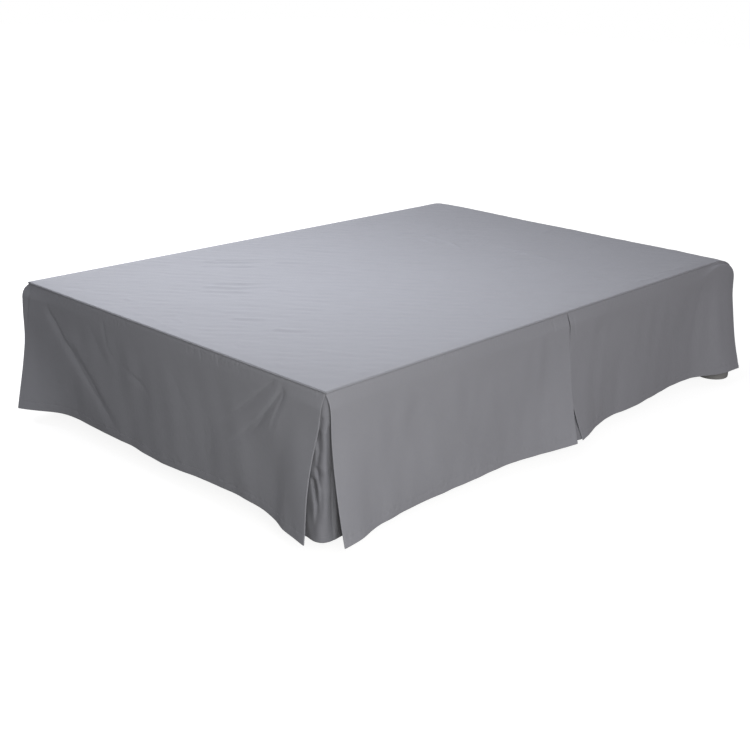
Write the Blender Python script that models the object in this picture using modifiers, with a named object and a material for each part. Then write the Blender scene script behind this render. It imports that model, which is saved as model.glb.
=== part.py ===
"""A tailored bed skirt on the plain bed base that it covers.

The skirt is a flat deck with a straight drop on three sides. Each long side is
split by a pleat at its middle, and each foot corner is split too. A narrow
underlay hangs behind every split. The head end has no drop.

+X runs from the foot end to the head end, +Y across the bed and +Z up, and the
part stands on Z = 0. Sizes are in metres.
"""

import math
from collections import namedtuple

import bmesh
import bpy

# The deck, which is the cloth that lies on the bed base
DECK_WIDTH = 1.35
TOP_HEIGHT = 0.455
HEAD_ROLL = 0.140
HEAD_ROLL_START = 1.990
HEAD_ROLL_FALL = 0.070
HEAD_ROLL_STEPS = 8
HEAD_END_FALL = 0.085

# The cloth, and how it turns down at the seam round the deck
CLOTH_THICKNESS = 0.0018
UNDERLAY_THICKNESS = 0.0015
SEAM_ROLL = 0.0055
SEAM_ROLL_AT_HEAD = 0.003
SEAM_ROLL_FADE = 0.08
SEAM_TURN = math.radians(50)
SEAM_TURNS = (1.0, 0.82, 0.45, 0.0)
SEAM_GAP = 0.0017
FACE_STANDOFF = 0.0028
DECK_PLACES = (SEAM_ROLL - FACE_STANDOFF, 0.25, 0.80, 1.40, 1.80, 1.928, 1.955, 1.982, HEAD_ROLL_START)

# The drop, measured down the cloth from the seam to the hem
DROP_LENGTH = 0.408
SHOULDER_DEPTH = 0.05
FLARE_POWER = 1.8
HEAD_FLARE_POWER = 1.42
HEAD_FLARE_START = 1.90
HEAD_FLARE_RUN = 0.12
MITRE_FADE = 0.020
EDGE_REACH = 0.16
DROP_DEPTHS = (0.0, 0.003, 0.0075, 0.05, 0.10, 0.16, 0.23, 0.31, DROP_LENGTH)

# The splits between the drops
SIDE_SPLIT = 1.040
SPLIT_GAP = 0.0012
MITRE_GAP = 0.0008
COLUMN_STEP = 0.055

# The underlays behind the splits
UNDERLAY_HALF_WIDTH = 0.115
UNDERLAY_TOP = 0.013
CORNER_UNDERLAY_LENGTH = 0.391
SIDE_UNDERLAY_LENGTH = 0.395
UNDERLAY_STANDOFF = 0.0008
UNDERLAY_DEPTHS = (0.0, 0.05, 0.12, 0.20, 0.29)
SIDE_UNDERLAY_STEPS = 8
CORNER_UNDERLAY_STEPS = 14
CORNER_RADIUS = 0.012

# The bed base and its feet
BASE_INSET = 0.003
BASE_DEPTH = 0.30
BASE_EDGE = 0.010
BASE_EDGE_STEPS = 3
BASE_HEAD_ROUND = 0.142
BASE_HEAD_DROP = 0.072
BASE_HEAD_STEPS = 8
BASE_HEAD_GAP = 0.0026
DECK_REST_GAP = 0.0003
FOOT_RADIUS = 0.0612
FOOT_REST_GAP = 0.0003
FOOT_EDGE = 0.004
FOOT_EDGE_STEPS = 2
FOOT_EDGE_ANGLE = math.radians(40)
FOOT_END_FEET_INSET = (0.130, 0.130)
HEAD_END_FEET_INSET = (0.0560, -0.0065)
FOOT_SIDES = 32

# How a crease fades in and out along its length, as shares of that length
CREASE_FADE_IN = 0.15
CREASE_FADE_OUT = 0.10

# Colours and roughness
DECK_COLOUR = (0.262, 0.267, 0.292)
DROP_COLOUR = (0.262, 0.267, 0.292)
BASE_COLOUR = (0.62, 0.61, 0.58)
FOOT_COLOUR = (0.16, 0.17, 0.16)
CLOTH_ROUGHNESS = 0.9
FOOT_ROUGHNESS = 0.6

# The middle of the part, measured from the foot corner where both tables start
CENTRE_X = 1.030
CENTRE_Y = DECK_WIDTH / 2

COLLECTION_NAME = "bed_skirt_on_bed_base"
SAME_PLACE = 1e-6

# One row for each place along a drop: how far along the edge it is, how far the
# cloth stands out at its shoulder and at its hem, and how far the hem is lifted
Fold = namedtuple("Fold", "along shoulder hem_out hem_lift")

FOOT_FOLDS = (
    Fold(0.00, 0.0090, 0.061, 0.001),
    Fold(0.10, 0.0070, 0.038, 0.0045),
    Fold(0.155, 0.0062, 0.019, 0.0105),
    Fold(0.22, 0.0050, 0.010, 0.0175),
    Fold(0.35, 0.0045, 0.005, 0.018),
    Fold(0.50, 0.0045, 0.005, 0.0135),
    Fold(0.66, 0.0050, 0.011, 0.006),
    Fold(0.82, 0.0045, 0.006, 0.012),
    Fold(1.00, 0.0050, 0.006, 0.011),
    Fold(1.12, 0.0060, 0.007, 0.012),
    Fold(1.20, 0.0070, 0.014, 0.009),
    Fold(1.28, 0.0100, 0.042, 0.001),
    Fold(1.35, 0.0140, 0.073, -0.006),
)

NEAR_FRONT_FOLDS = (
    Fold(0.00, 0.0110, 0.072, 0.000),
    Fold(0.07, 0.0095, 0.067, 0.000),
    Fold(0.14, 0.0080, 0.046, 0.000),
    Fold(0.21, 0.0070, 0.034, 0.000),
    Fold(0.34, 0.0070, 0.024, 0.000),
    Fold(0.47, 0.0080, 0.029, 0.000),
    Fold(0.60, 0.0080, 0.033, 0.000),
    Fold(0.74, 0.0090, 0.036, 0.000),
    Fold(0.86, 0.0110, 0.056, 0.000),
    Fold(0.95, 0.0120, 0.077, 0.000),
    Fold(1.040, 0.0140, 0.104, 0.000),
)

NEAR_REAR_FOLDS = (
    Fold(1.040, 0.0140, 0.0984, 0.000),
    Fold(1.10, 0.0120, 0.0796, 0.000),
    Fold(1.20, 0.0100, 0.046, -0.003),
    Fold(1.33, 0.0070, 0.027, -0.003),
    Fold(1.45, 0.0070, 0.032, -0.004),
    Fold(1.62, 0.0070, 0.025, -0.003),
    Fold(1.74, 0.0070, 0.018, 0.000),
    Fold(1.85, 0.0090, 0.024, 0.000),
    Fold(1.92, 0.0120, 0.054, -0.002),
    Fold(2.00, 0.0160, 0.089, -0.006),
    Fold(2.08, 0.0180, 0.098, -0.006),
    Fold(2.13, 0.0160, 0.099, -0.008),
)

FAR_FRONT_FOLDS = (
    Fold(0.00, 0.0130, 0.068, 0.003),
    Fold(0.09, 0.0090, 0.054, 0.003),
    Fold(0.20, 0.0070, 0.026, 0.003),
    Fold(0.38, 0.0070, 0.018, 0.005),
    Fold(0.56, 0.0070, 0.030, 0.003),
    Fold(0.72, 0.0080, 0.026, 0.003),
    Fold(0.86, 0.0110, 0.050, 0.003),
    Fold(0.95, 0.0120, 0.080, 0.003),
    Fold(1.040, 0.0140, 0.104, 0.003),
)

FAR_REAR_FOLDS = (
    Fold(1.040, 0.0140, 0.0974, 0.003),
    Fold(1.10, 0.0130, 0.0814, 0.003),
    Fold(1.24, 0.0080, 0.034, 0.003),
    Fold(1.42, 0.0070, 0.022, 0.005),
    Fold(1.60, 0.0070, 0.030, 0.003),
    Fold(1.76, 0.0070, 0.020, 0.003),
    Fold(1.88, 0.0110, 0.036, 0.003),
    Fold(1.98, 0.0160, 0.088, 0.000),
    Fold(2.08, 0.0180, 0.100, -0.003),
    Fold(2.13, 0.0160, 0.101, -0.005),
)

# One row for each place across an underlay, measured from its middle
Lean = namedtuple("Lean", "across shoulder hem_out")

CORNER_LEANS = (
    Lean(-0.115, 0.0010, 0.008),
    Lean(-0.060, 0.0020, 0.022),
    Lean(0.000, 0.0040, 0.027),
    Lean(0.060, 0.0020, 0.020),
    Lean(0.115, 0.0010, 0.008),
)

SIDE_LEANS = (
    Lean(-0.115, 0.0020, 0.034),
    Lean(-0.050, 0.0050, 0.070),
    Lean(0.000, 0.0070, 0.0920),
    Lean(0.050, 0.0050, 0.070),
    Lean(0.115, 0.0020, 0.034),
)

# How the free side of a drop wanders as it hangs: it starts moved in from the split
# by top, and adds inset, early in the fall where power is low and late where it is high
Edge = namedtuple("Edge", "top inset power mitred")

FOOT_NEAR_EDGE = Edge(0.0, 0.020, 0.6, True)
FOOT_FAR_EDGE = Edge(-0.022, 0.006, 1.5, True)
SIDE_FOOT_EDGE = Edge(0.0, 0.008, 0.6, True)
FRONT_SPLIT_EDGE = Edge(0.0, 0.037, 2.2, False)
REAR_SPLIT_EDGE = Edge(0.0, 0.004, 2.4, False)
HEAD_EDGE = Edge(0.010, 0.038, 0.9, False)

# One row for each long crease across the foot drop: where it starts and ends, as
# distance along and depth down, and how deep and how wide its trough is
Crease = namedtuple("Crease", "along_1 depth_1 along_2 depth_2 trough width")

FOOT_CREASES = (
    Crease(1.21, 0.04, 0.86, 0.40, 0.006, 0.035),
    Crease(0.16, 0.01, 0.43, 0.32, 0.004, 0.030),
)


def clear_scene():
    """Remove the objects that a new file opens with."""
    for thing in list(bpy.data.objects):
        bpy.data.objects.remove(thing, do_unlink=True)


def plain_material(name, colour, roughness):
    """One Principled material of a single colour."""
    material = bpy.data.materials.new(name)
    material.use_nodes = True
    shader = material.node_tree.nodes["Principled BSDF"]
    shader.inputs["Base Color"].default_value = (*colour, 1.0)
    shader.inputs["Roughness"].default_value = roughness
    shader.inputs["Metallic"].default_value = 0.0
    material.diffuse_color = (*colour, 1.0)
    return material


def smooth_step(value):
    """Ease a number from 0 to 1, level at both ends."""
    held = min(max(value, 0.0), 1.0)
    return held * held * (3.0 - 2.0 * held)


def read_table(rows, place, column):
    """Read one named column between the rows on a smooth curve through them."""
    places = [row[0] for row in rows]
    values = [getattr(row, column) for row in rows]
    if place <= places[0]:
        return values[0]
    if place >= places[-1]:
        return values[-1]
    last = len(rows) - 1
    left = max(index for index in range(last) if places[index] <= place)
    span = places[left + 1] - places[left]
    part = (place - places[left]) / span

    def slope(index):
        before = max(index - 1, 0)
        after = min(index + 1, last)
        return (values[after] - values[before]) / (places[after] - places[before])

    squared = part * part
    cubed = squared * part
    return (
        (2.0 * cubed - 3.0 * squared + 1.0) * values[left]
        + (cubed - 2.0 * squared + part) * span * slope(left)
        + (3.0 * squared - 2.0 * cubed) * values[left + 1]
        + (cubed - squared) * span * slope(left + 1)
    )


def head_fall(along):
    """How far the deck has sunk at a distance from the foot end, over its head roll."""
    reach = min(max(along - HEAD_ROLL_START, 0.0) / HEAD_ROLL, 1.0)
    return HEAD_ROLL_FALL * (1.0 - math.sqrt(1.0 - reach * reach))


def seam_roll(along):
    """Radius of the turn at the side seam, tight where the deck rolls over the head end."""
    fade = smooth_step((along - (HEAD_ROLL_START - SEAM_ROLL_FADE)) / SEAM_ROLL_FADE)
    return SEAM_ROLL + (SEAM_ROLL_AT_HEAD - SEAM_ROLL) * fade


def crease_depth(creases, along, depth):
    """How far the creases draw a point of the cloth inwards."""
    drawn = 0.0
    for crease in creases:
        run_along = crease.along_2 - crease.along_1
        run_down = crease.depth_2 - crease.depth_1
        length = math.hypot(run_along, run_down)
        step_along = along - crease.along_1
        step_down = depth - crease.depth_1
        forward = (step_along * run_along + step_down * run_down) / (length * length)
        across = (step_along * run_down - step_down * run_along) / length
        ends = smooth_step(forward / CREASE_FADE_IN) * smooth_step((1.0 - forward) / CREASE_FADE_OUT + 0.5)
        drawn += crease.trough * ends * math.exp(-((across / crease.width) ** 2))
    return drawn


def drop_profile(folds, along, depth, roll, creases=()):
    """Distance out from the seam plane and down from it, at a depth down the cloth."""
    turn = SEAM_TURN + SEAM_GAP / roll
    roll_length = roll * (math.pi / 2 - turn)
    if depth < roll_length:
        angle = turn + depth / roll
        out = FACE_STANDOFF - roll + roll * math.sin(angle)
        return out, roll - roll * math.cos(angle)
    fallen = (depth - roll_length) / (DROP_LENGTH - roll_length)
    shoulder = read_table(folds, along, "shoulder")
    hem_out = read_table(folds, along, "hem_out")
    lift = read_table(folds, along, "hem_lift")
    shoulder_share = smooth_step((depth - roll_length) / (SHOULDER_DEPTH - roll_length))
    out = FACE_STANDOFF + (shoulder - FACE_STANDOFF) * shoulder_share
    to_head = smooth_step((along - HEAD_FLARE_START) / HEAD_FLARE_RUN)
    power = FLARE_POWER + (HEAD_FLARE_POWER - FLARE_POWER) * to_head
    out += max(hem_out - shoulder, 0.0) * fallen**power
    out -= crease_depth(creases, along, depth)
    run = out - FACE_STANDOFF
    length = depth - roll_length
    down = roll + math.sqrt(max(length * length - run * run, 0.0))
    return max(out, FACE_STANDOFF), down - lift * fallen


def edge_shift(edge, out, depth):
    """How far one free side of a drop has moved in, at a depth down the cloth."""
    fallen = depth / DROP_LENGTH
    wander = edge.top * (1.0 - fallen) + edge.inset * fallen**edge.power
    if not edge.mitred:
        return wander + SPLIT_GAP / 2
    settled = smooth_step(depth / MITRE_FADE)
    inner_corner = MITRE_GAP + CLOTH_THICKNESS - out
    return inner_corner * (1.0 - settled) + (wander + MITRE_GAP) * settled


def sheet_object(name, material, rows, thickness):
    """Close a grid of outer points into a sheet with its thickness on the inner side."""
    mesh = bpy.data.meshes.new(name)
    shape = bmesh.new()
    grid = [[shape.verts.new(point) for point in row] for row in rows]
    for upper, lower in zip(grid, grid[1:]):
        for index in range(len(upper) - 1):
            shape.faces.new((upper[index], lower[index], lower[index + 1], upper[index + 1]))
    shape.to_mesh(mesh)
    shape.free()
    return thicken(name, material, mesh, thickness)


def thicken(name, material, mesh, thickness):
    """Give an open surface its thickness, behind the side that shows."""
    mesh.materials.append(material)
    sheet = bpy.data.objects.new(name, mesh)
    bpy.data.collections[COLLECTION_NAME].objects.link(sheet)
    wall = sheet.modifiers.new("cloth", "SOLIDIFY")
    wall.thickness = thickness
    wall.offset = -1.0
    wall.use_quality_normals = True
    mesh.shade_smooth()
    return sheet


def foot_place(along, out, down):
    """A point of the foot drop, whose table runs across the bed from the near corner."""
    return (-CENTRE_X - out, along - CENTRE_Y, TOP_HEIGHT - down)


def near_place(along, out, down):
    """A point of a drop on the near long side."""
    return (along - CENTRE_X, -CENTRE_Y - out, TOP_HEIGHT - down)


def far_place(along, out, down):
    """A point of a drop on the far long side."""
    return (along - CENTRE_X, CENTRE_Y + out, TOP_HEIGHT - down)


def drop_columns(start, end):
    """Even places along a drop, about a column step apart."""
    count = max(round((end - start) / COLUMN_STEP), 2)
    return [start + (end - start) * index / count for index in range(count + 1)]


def make_drop(name, material, place, folds, edges, sinks, flipped=False, creases=()):
    """Hang one drop from its seam, between its two free sides."""
    start = folds[0].along
    end = folds[-1].along
    rows = []
    for depth in DROP_DEPTHS:
        row = []
        for along in drop_columns(start, end):
            roll = seam_roll(along) if sinks else SEAM_ROLL
            out, down = drop_profile(folds, along, depth, roll, creases)
            near_start = math.exp(-(((along - start) / EDGE_REACH) ** 2))
            near_end = math.exp(-(((end - along) / EDGE_REACH) ** 2))
            moved = along + edge_shift(edges[0], out, depth) * near_start
            moved -= edge_shift(edges[1], out, depth) * near_end
            sunk = head_fall(along) * (1.0 - depth / DROP_LENGTH) if sinks else 0.0
            row.append(place(moved, out, down + sunk))
        rows.append(row[::-1] if flipped else row)
    return sheet_object(name, material, rows, CLOTH_THICKNESS)


def underlay_profile(leans, across, depth, length):
    """Distance out and down of an underlay, at a depth below its top edge."""
    fallen = depth / length
    shoulder = read_table(leans, across, "shoulder")
    hem_out = read_table(leans, across, "hem_out")
    share = smooth_step(depth / SHOULDER_DEPTH)
    out = UNDERLAY_STANDOFF + (shoulder - UNDERLAY_STANDOFF) * share
    out += (hem_out - shoulder) * fallen ** FLARE_POWER
    run = out - UNDERLAY_STANDOFF
    down = UNDERLAY_TOP + math.sqrt(depth * depth - run * run)
    return out, down


def underlay_places(count):
    """Even places across an underlay, from one side to the other."""
    step = 2.0 * UNDERLAY_HALF_WIDTH / count
    return [-UNDERLAY_HALF_WIDTH + step * index for index in range(count + 1)]


def make_side_underlay(name, material, place, flipped):
    """Hang the strip behind the split at the middle of a long side."""
    rows = []
    for depth in (*UNDERLAY_DEPTHS, SIDE_UNDERLAY_LENGTH):
        row = []
        for across in underlay_places(SIDE_UNDERLAY_STEPS):
            out, down = underlay_profile(SIDE_LEANS, across, depth, SIDE_UNDERLAY_LENGTH)
            row.append(place(SIDE_SPLIT + across, out, down))
        rows.append(row[::-1] if flipped else row)
    return sheet_object(name, material, rows, UNDERLAY_THICKNESS)


def corner_place(across, out, down, side):
    """A point of a strip that turns round a foot corner, side being -1 near or 1 far."""
    radius = CORNER_RADIUS + out
    quarter = radius * math.pi / 4
    centre_x = CORNER_RADIUS - CENTRE_X
    centre_y = side * (CENTRE_Y - CORNER_RADIUS)
    height = TOP_HEIGHT - down
    if across < -quarter:
        return (centre_x - radius, centre_y + side * (across + quarter), height)
    if across > quarter:
        return (centre_x + across - quarter, centre_y + side * radius, height)
    angle = math.pi / 4 + across / radius
    return (centre_x - radius * math.cos(angle), centre_y + side * radius * math.sin(angle), height)


def make_corner_underlay(name, material, side):
    """Hang the strip behind the split at a foot corner, round the corner of the base."""
    rows = []
    for depth in (*UNDERLAY_DEPTHS, CORNER_UNDERLAY_LENGTH):
        row = []
        for across in underlay_places(CORNER_UNDERLAY_STEPS):
            out, down = underlay_profile(CORNER_LEANS, across, depth, CORNER_UNDERLAY_LENGTH)
            row.append(corner_place(across, out, down, side))
        rows.append(row if side < 0 else row[::-1])
    return sheet_object(name, material, rows, UNDERLAY_THICKNESS)


def deck_stations():
    """Places along the deck and how far it has sunk there: flat, rolled over, then down."""
    places = [(along, 0.0) for along in DECK_PLACES]
    for step in range(1, HEAD_ROLL_STEPS + 1):
        along = HEAD_ROLL_START + HEAD_ROLL * math.sin(math.pi / 2 * step / HEAD_ROLL_STEPS)
        places.append((along, head_fall(along)))
    places.append((HEAD_ROLL_START + HEAD_ROLL, HEAD_END_FALL))
    return places


def seam_offset(roll, turn):
    """Distance out from the seam plane and down from the deck, at a share of the turn."""
    bend = SEAM_TURN * turn
    return FACE_STANDOFF - roll + roll * math.sin(bend), roll - roll * math.cos(bend)


def deck_side(along, sunk, turn):
    """Offset out and down at the side of the deck, for a share of the turn at its seam."""
    if sunk > 0.0:
        return -SEAM_GAP, 0.0
    roll = seam_roll(along)
    out, fall = seam_offset(roll, turn)
    drawn_in = SEAM_GAP * (SEAM_ROLL - roll) / SEAM_ROLL
    return out - drawn_in * turn, fall


def deck_row(along, sunk, foot_fall):
    """One line of deck points across the bed, from one side seam to the other."""
    sides = [deck_side(along, sunk, turn) for turn in SEAM_TURNS]
    half = [(CENTRE_Y + out, max(fall, foot_fall) + sunk) for out, fall in sides]
    line = [(-width, fall) for width, fall in half] + half[::-1]
    return [(along - CENTRE_X, width, TOP_HEIGHT - fall) for width, fall in line]


def make_deck(material):
    """The top cloth: flat, turned down at its seams and rolled over the head end."""
    rows = []
    for turn in SEAM_TURNS[:-1]:
        out, fall = seam_offset(SEAM_ROLL, turn)
        rows.append(deck_row(-out, 0.0, fall))
    for along, sunk in deck_stations():
        rows.append(deck_row(along, sunk, 0.0))
    return sheet_object("deck", material, rows, CLOTH_THICKNESS)


def base_outline():
    """The side view of the bed base, rounded over at the head end."""
    top = TOP_HEIGHT - CLOTH_THICKNESS - DECK_REST_GAP
    bottom = top - BASE_DEPTH
    foot_end = BASE_INSET - CENTRE_X
    head_end = HEAD_ROLL_START - CENTRE_X + HEAD_ROLL - CLOTH_THICKNESS - BASE_HEAD_GAP
    centre_x = head_end - BASE_HEAD_ROUND
    centre_z = top - BASE_HEAD_DROP
    points = [(foot_end, bottom), (head_end, bottom)]
    for step in range(BASE_HEAD_STEPS + 1):
        angle = math.pi / 2 * step / BASE_HEAD_STEPS
        round_x = centre_x + BASE_HEAD_ROUND * math.cos(angle)
        points.append((round_x, centre_z + BASE_HEAD_DROP * math.sin(angle)))
    points.append((foot_end, top))
    return points, bottom, top


def make_base(material):
    """The bed base: the side view drawn across the bed, with its long edges eased."""
    outline, bottom, top = base_outline()
    half = CENTRE_Y - BASE_INSET
    mesh = bpy.data.meshes.new("bed_base")
    shape = bmesh.new()
    near = [shape.verts.new((x, -half, z)) for x, z in outline]
    side = shape.faces.new(near)
    drawn = bmesh.ops.extrude_face_region(shape, geom=[side])
    moved = [item for item in drawn["geom"] if isinstance(item, bmesh.types.BMVert)]
    bmesh.ops.translate(shape, verts=moved, vec=(0.0, 2.0 * half, 0.0))
    bmesh.ops.recalc_face_normals(shape, faces=shape.faces)
    eased = []
    for edge in shape.edges:
        ends = [vert.co for vert in edge.verts]
        on_bottom = all(abs(end.z - bottom) < SAME_PLACE for end in ends)
        on_top = all(abs(end.z - top) < SAME_PLACE for end in ends)
        at_foot_end = all(abs(end.x - outline[0][0]) < SAME_PLACE for end in ends)
        on_one_side = abs(ends[0].y - ends[1].y) < SAME_PLACE
        if (on_top and at_foot_end) or (on_one_side and not on_bottom):
            eased.append(edge)
    bmesh.ops.bevel(
        shape,
        geom=eased,
        offset=BASE_EDGE,
        offset_type="OFFSET",
        segments=BASE_EDGE_STEPS,
        profile=0.5,
        affect="EDGES",
    )
    shape.to_mesh(mesh)
    shape.free()
    mesh.materials.append(material)
    base = bpy.data.objects.new("bed_base", mesh)
    bpy.data.collections[COLLECTION_NAME].objects.link(base)
    return base


def make_foot(name, material, x, y):
    """A round foot under a corner of the base."""
    _, bottom, _ = base_outline()
    height = bottom - FOOT_REST_GAP
    mesh = bpy.data.meshes.new(name)
    shape = bmesh.new()
    bmesh.ops.create_cone(
        shape, cap_ends=True, segments=FOOT_SIDES, radius1=FOOT_RADIUS, radius2=FOOT_RADIUS, depth=height
    )
    bmesh.ops.translate(shape, verts=shape.verts, vec=(0.0, 0.0, height / 2))
    shape.to_mesh(mesh)
    shape.free()
    mesh.materials.append(material)
    foot = bpy.data.objects.new(name, mesh)
    foot.location = (x, y, 0.0)
    bpy.data.collections[COLLECTION_NAME].objects.link(foot)
    rounding = foot.modifiers.new("eased rim", "BEVEL")
    rounding.width = FOOT_EDGE
    rounding.segments = FOOT_EDGE_STEPS
    rounding.limit_method = "ANGLE"
    rounding.angle_limit = FOOT_EDGE_ANGLE
    return foot


def make_feet(material):
    """Four feet, one near each corner of the base."""
    outline, _, _ = base_outline()
    half = CENTRE_Y - BASE_INSET
    ends = (
        ("foot_end", outline[0][0] + FOOT_END_FEET_INSET[0], half - FOOT_END_FEET_INSET[1]),
        ("head_end", outline[1][0] - HEAD_END_FEET_INSET[0], half - HEAD_END_FEET_INSET[1]),
    )
    for end, x, y in ends:
        make_foot(f"bed_foot_{end}_near", material, x, -y)
        make_foot(f"bed_foot_{end}_far", material, x, y)


def make_skirt(deck_cloth, drop_cloth):
    """The deck, its drops on three sides, and the underlays behind the splits."""
    make_deck(deck_cloth)
    make_drop(
        "foot_drop",
        drop_cloth,
        foot_place,
        FOOT_FOLDS,
        (FOOT_NEAR_EDGE, FOOT_FAR_EDGE),
        sinks=False,
        flipped=True,
        creases=FOOT_CREASES,
    )
    sides = (
        ("near", near_place, NEAR_FRONT_FOLDS, NEAR_REAR_FOLDS, False),
        ("far", far_place, FAR_FRONT_FOLDS, FAR_REAR_FOLDS, True),
    )
    for name, place, front, rear, flipped in sides:
        front_edges = (SIDE_FOOT_EDGE, FRONT_SPLIT_EDGE)
        rear_edges = (REAR_SPLIT_EDGE, HEAD_EDGE)
        make_drop(f"{name}_drop_front", drop_cloth, place, front, front_edges, False, flipped)
        make_drop(f"{name}_drop_rear", drop_cloth, place, rear, rear_edges, True, flipped)
        make_side_underlay(f"{name}_side_underlay", drop_cloth, place, flipped)
    make_corner_underlay("near_corner_underlay", drop_cloth, -1)
    make_corner_underlay("far_corner_underlay", drop_cloth, 1)


def main():
    """Build the whole part."""
    clear_scene()
    collection = bpy.data.collections.new(COLLECTION_NAME)
    bpy.context.scene.collection.children.link(collection)
    deck_cloth = plain_material("deck_cloth", DECK_COLOUR, CLOTH_ROUGHNESS)
    drop_cloth = plain_material("drop_cloth", DROP_COLOUR, CLOTH_ROUGHNESS)
    base_cover = plain_material("base_cover", BASE_COLOUR, CLOTH_ROUGHNESS)
    foot_paint = plain_material("foot_paint", FOOT_COLOUR, FOOT_ROUGHNESS)
    make_base(base_cover)
    make_feet(foot_paint)
    make_skirt(deck_cloth, drop_cloth)


main()
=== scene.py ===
# %% [markdown]
# # A tailored bed skirt
# A bed skirt hides the side of a bed base. This one has a flat deck, which lies
# between mattress and base, and straight drops sewn to three of its edges. The
# drops are split at the foot corners and at the middle of each long side, and a
# narrow underlay hangs behind every split.
#
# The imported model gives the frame: the same pieces at the same places, plainer.
# This script sews the finer cloth over it, piece by piece.

import math
from collections import namedtuple

import bpy
import numpy as np
from mathutils import Matrix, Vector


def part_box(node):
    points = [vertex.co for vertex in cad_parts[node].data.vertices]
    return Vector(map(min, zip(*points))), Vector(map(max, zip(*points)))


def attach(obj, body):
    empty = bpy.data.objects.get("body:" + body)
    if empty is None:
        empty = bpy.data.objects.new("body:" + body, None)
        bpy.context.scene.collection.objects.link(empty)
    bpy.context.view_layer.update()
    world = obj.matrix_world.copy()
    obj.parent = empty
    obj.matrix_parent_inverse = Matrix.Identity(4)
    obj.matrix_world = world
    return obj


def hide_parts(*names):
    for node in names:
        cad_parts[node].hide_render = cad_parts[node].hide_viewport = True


def in_view(name, data):
    """A new object in the scene, at the origin."""
    made = bpy.data.objects.new(name, data)
    bpy.context.scene.collection.objects.link(made)
    return made


def feed(tree, node, feeds):
    """Feed a node's inputs with other nodes' sockets or with plain values."""
    for socket, value in feeds.items():
        if isinstance(value, bpy.types.NodeSocket):
            tree.links.new(value, node.inputs[socket])
        else:
            node.inputs[socket].default_value = value


def add_node(tree, kind, feeds=None, **settings):
    """A new node with its settings and its feeds."""
    node = tree.nodes.new(kind)
    for name, value in settings.items():
        setattr(node, name, value)
    feed(tree, node, feeds or {})
    return node


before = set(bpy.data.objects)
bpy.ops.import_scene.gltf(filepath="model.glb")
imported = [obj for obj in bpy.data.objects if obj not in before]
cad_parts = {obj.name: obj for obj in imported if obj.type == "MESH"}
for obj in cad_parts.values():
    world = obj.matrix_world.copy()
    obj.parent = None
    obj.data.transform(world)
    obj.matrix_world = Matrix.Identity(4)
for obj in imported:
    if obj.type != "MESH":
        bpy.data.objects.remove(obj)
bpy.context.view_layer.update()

# %% [markdown]
# ## The camera
# The four corners of the deck were fitted in perspective, which gives the
# camera's place, its heading and pitch, a small roll and the focal length. The
# picture is square, so one focal length in pixels sets the lens on a square
# sensor.

# %% Camera
CAMERA_PLACE = (-2.887, -2.542, 1.445)
CAMERA_YAW = math.radians(42.56)
CAMERA_PITCH = math.radians(19.73)
CAMERA_ROLL = math.radians(-1.76)
FOCAL_PIXELS = 1150.6
PICTURE_PIXELS = 750
SENSOR = 36.0


def camera_axes(yaw, pitch, roll):
    """Right, up and backward directions of a camera, as columns of a matrix."""
    forward = np.array([math.cos(pitch) * math.cos(yaw), math.cos(pitch) * math.sin(yaw), -math.sin(pitch)])
    level = np.array([math.sin(yaw), -math.cos(yaw), 0.0])
    down = np.cross(forward, level)
    right = level * math.cos(roll) + down * math.sin(roll)
    below = down * math.cos(roll) - level * math.sin(roll)
    return np.column_stack([right, -below, -forward])


def add_camera():
    """Stand the camera where the fit puts it."""
    data = bpy.data.cameras.new("view_camera")
    data.sensor_width = SENSOR
    data.sensor_height = SENSOR
    data.lens = FOCAL_PIXELS * SENSOR / PICTURE_PIXELS
    data.clip_end = 200.0
    camera = in_view("view_camera", data)
    turned = Matrix(camera_axes(CAMERA_YAW, CAMERA_PITCH, CAMERA_ROLL).tolist()).to_4x4()
    camera.matrix_world = Matrix.Translation(CAMERA_PLACE) @ turned
    bpy.context.scene.camera = camera
    return camera


camera = add_camera()
print("lens mm:", round(camera.data.lens, 2))

# %% [markdown]
# ## Light and floor
# The skirt was lit from above and from low behind its far side, which shows the
# packing folds, and filled from its near side. So the deck is light, the long
# side is a middle grey and the foot end is the darkest. Area lights of different
# strength give that. The world is white to the camera and a soft grey to
# everything else. The floor is pale, and it glows a little to the camera, more
# with the distance, so that it runs into the white without a horizon. To the
# light it is a plain grey that bounces little.

# %% Lights, world and floor
Lamp = namedtuple("Lamp", "name place aim size power colour")

LAMPS = (
    Lamp("deck_lamp", (-0.50, 0.14, 1.9), (-0.50, 0.13, 0.4), 1.2, 24.8, (0.985, 1.0, 1.04)),
    Lamp("far_side_lamp", (0.5, 3.4, 1.7), (0.1, 0.1, 0.4), 0.9, 100.0, (0.985, 1.0, 1.04)),
    Lamp("near_side_lamp", (-2.0, -3.0, 1.5), (-0.5, -0.6, 0.3), 1.5, 31.0, (0.98, 0.99, 1.01)),
    Lamp("near_corner_lamp", (-2.6, -2.6, 1.3), (-0.8, -0.5, 0.3), 1.5, 29.5, (1.07, 1.04, 0.95)),
    Lamp("head_end_lamp", (0.4, -4.2, 1.2), (0.2, -0.6, 0.3), 2.0, 24.0, (1.06, 0.98, 0.96)),
)
SURROUND_LIGHT = 0.225
SURROUND_COLOUR = (1.03, 1.01, 1.08, 1.0)
FLOOR_SPREAD = 40.0
FLOOR_BOUNCE = 0.22
FLOOR_SEEN = 0.30
# Distance from the middle where the floor's glow starts and ends to rise, and its strength there
FLOOR_GLOW = (1.2, 3.0, 0.88, 1.0)


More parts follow.
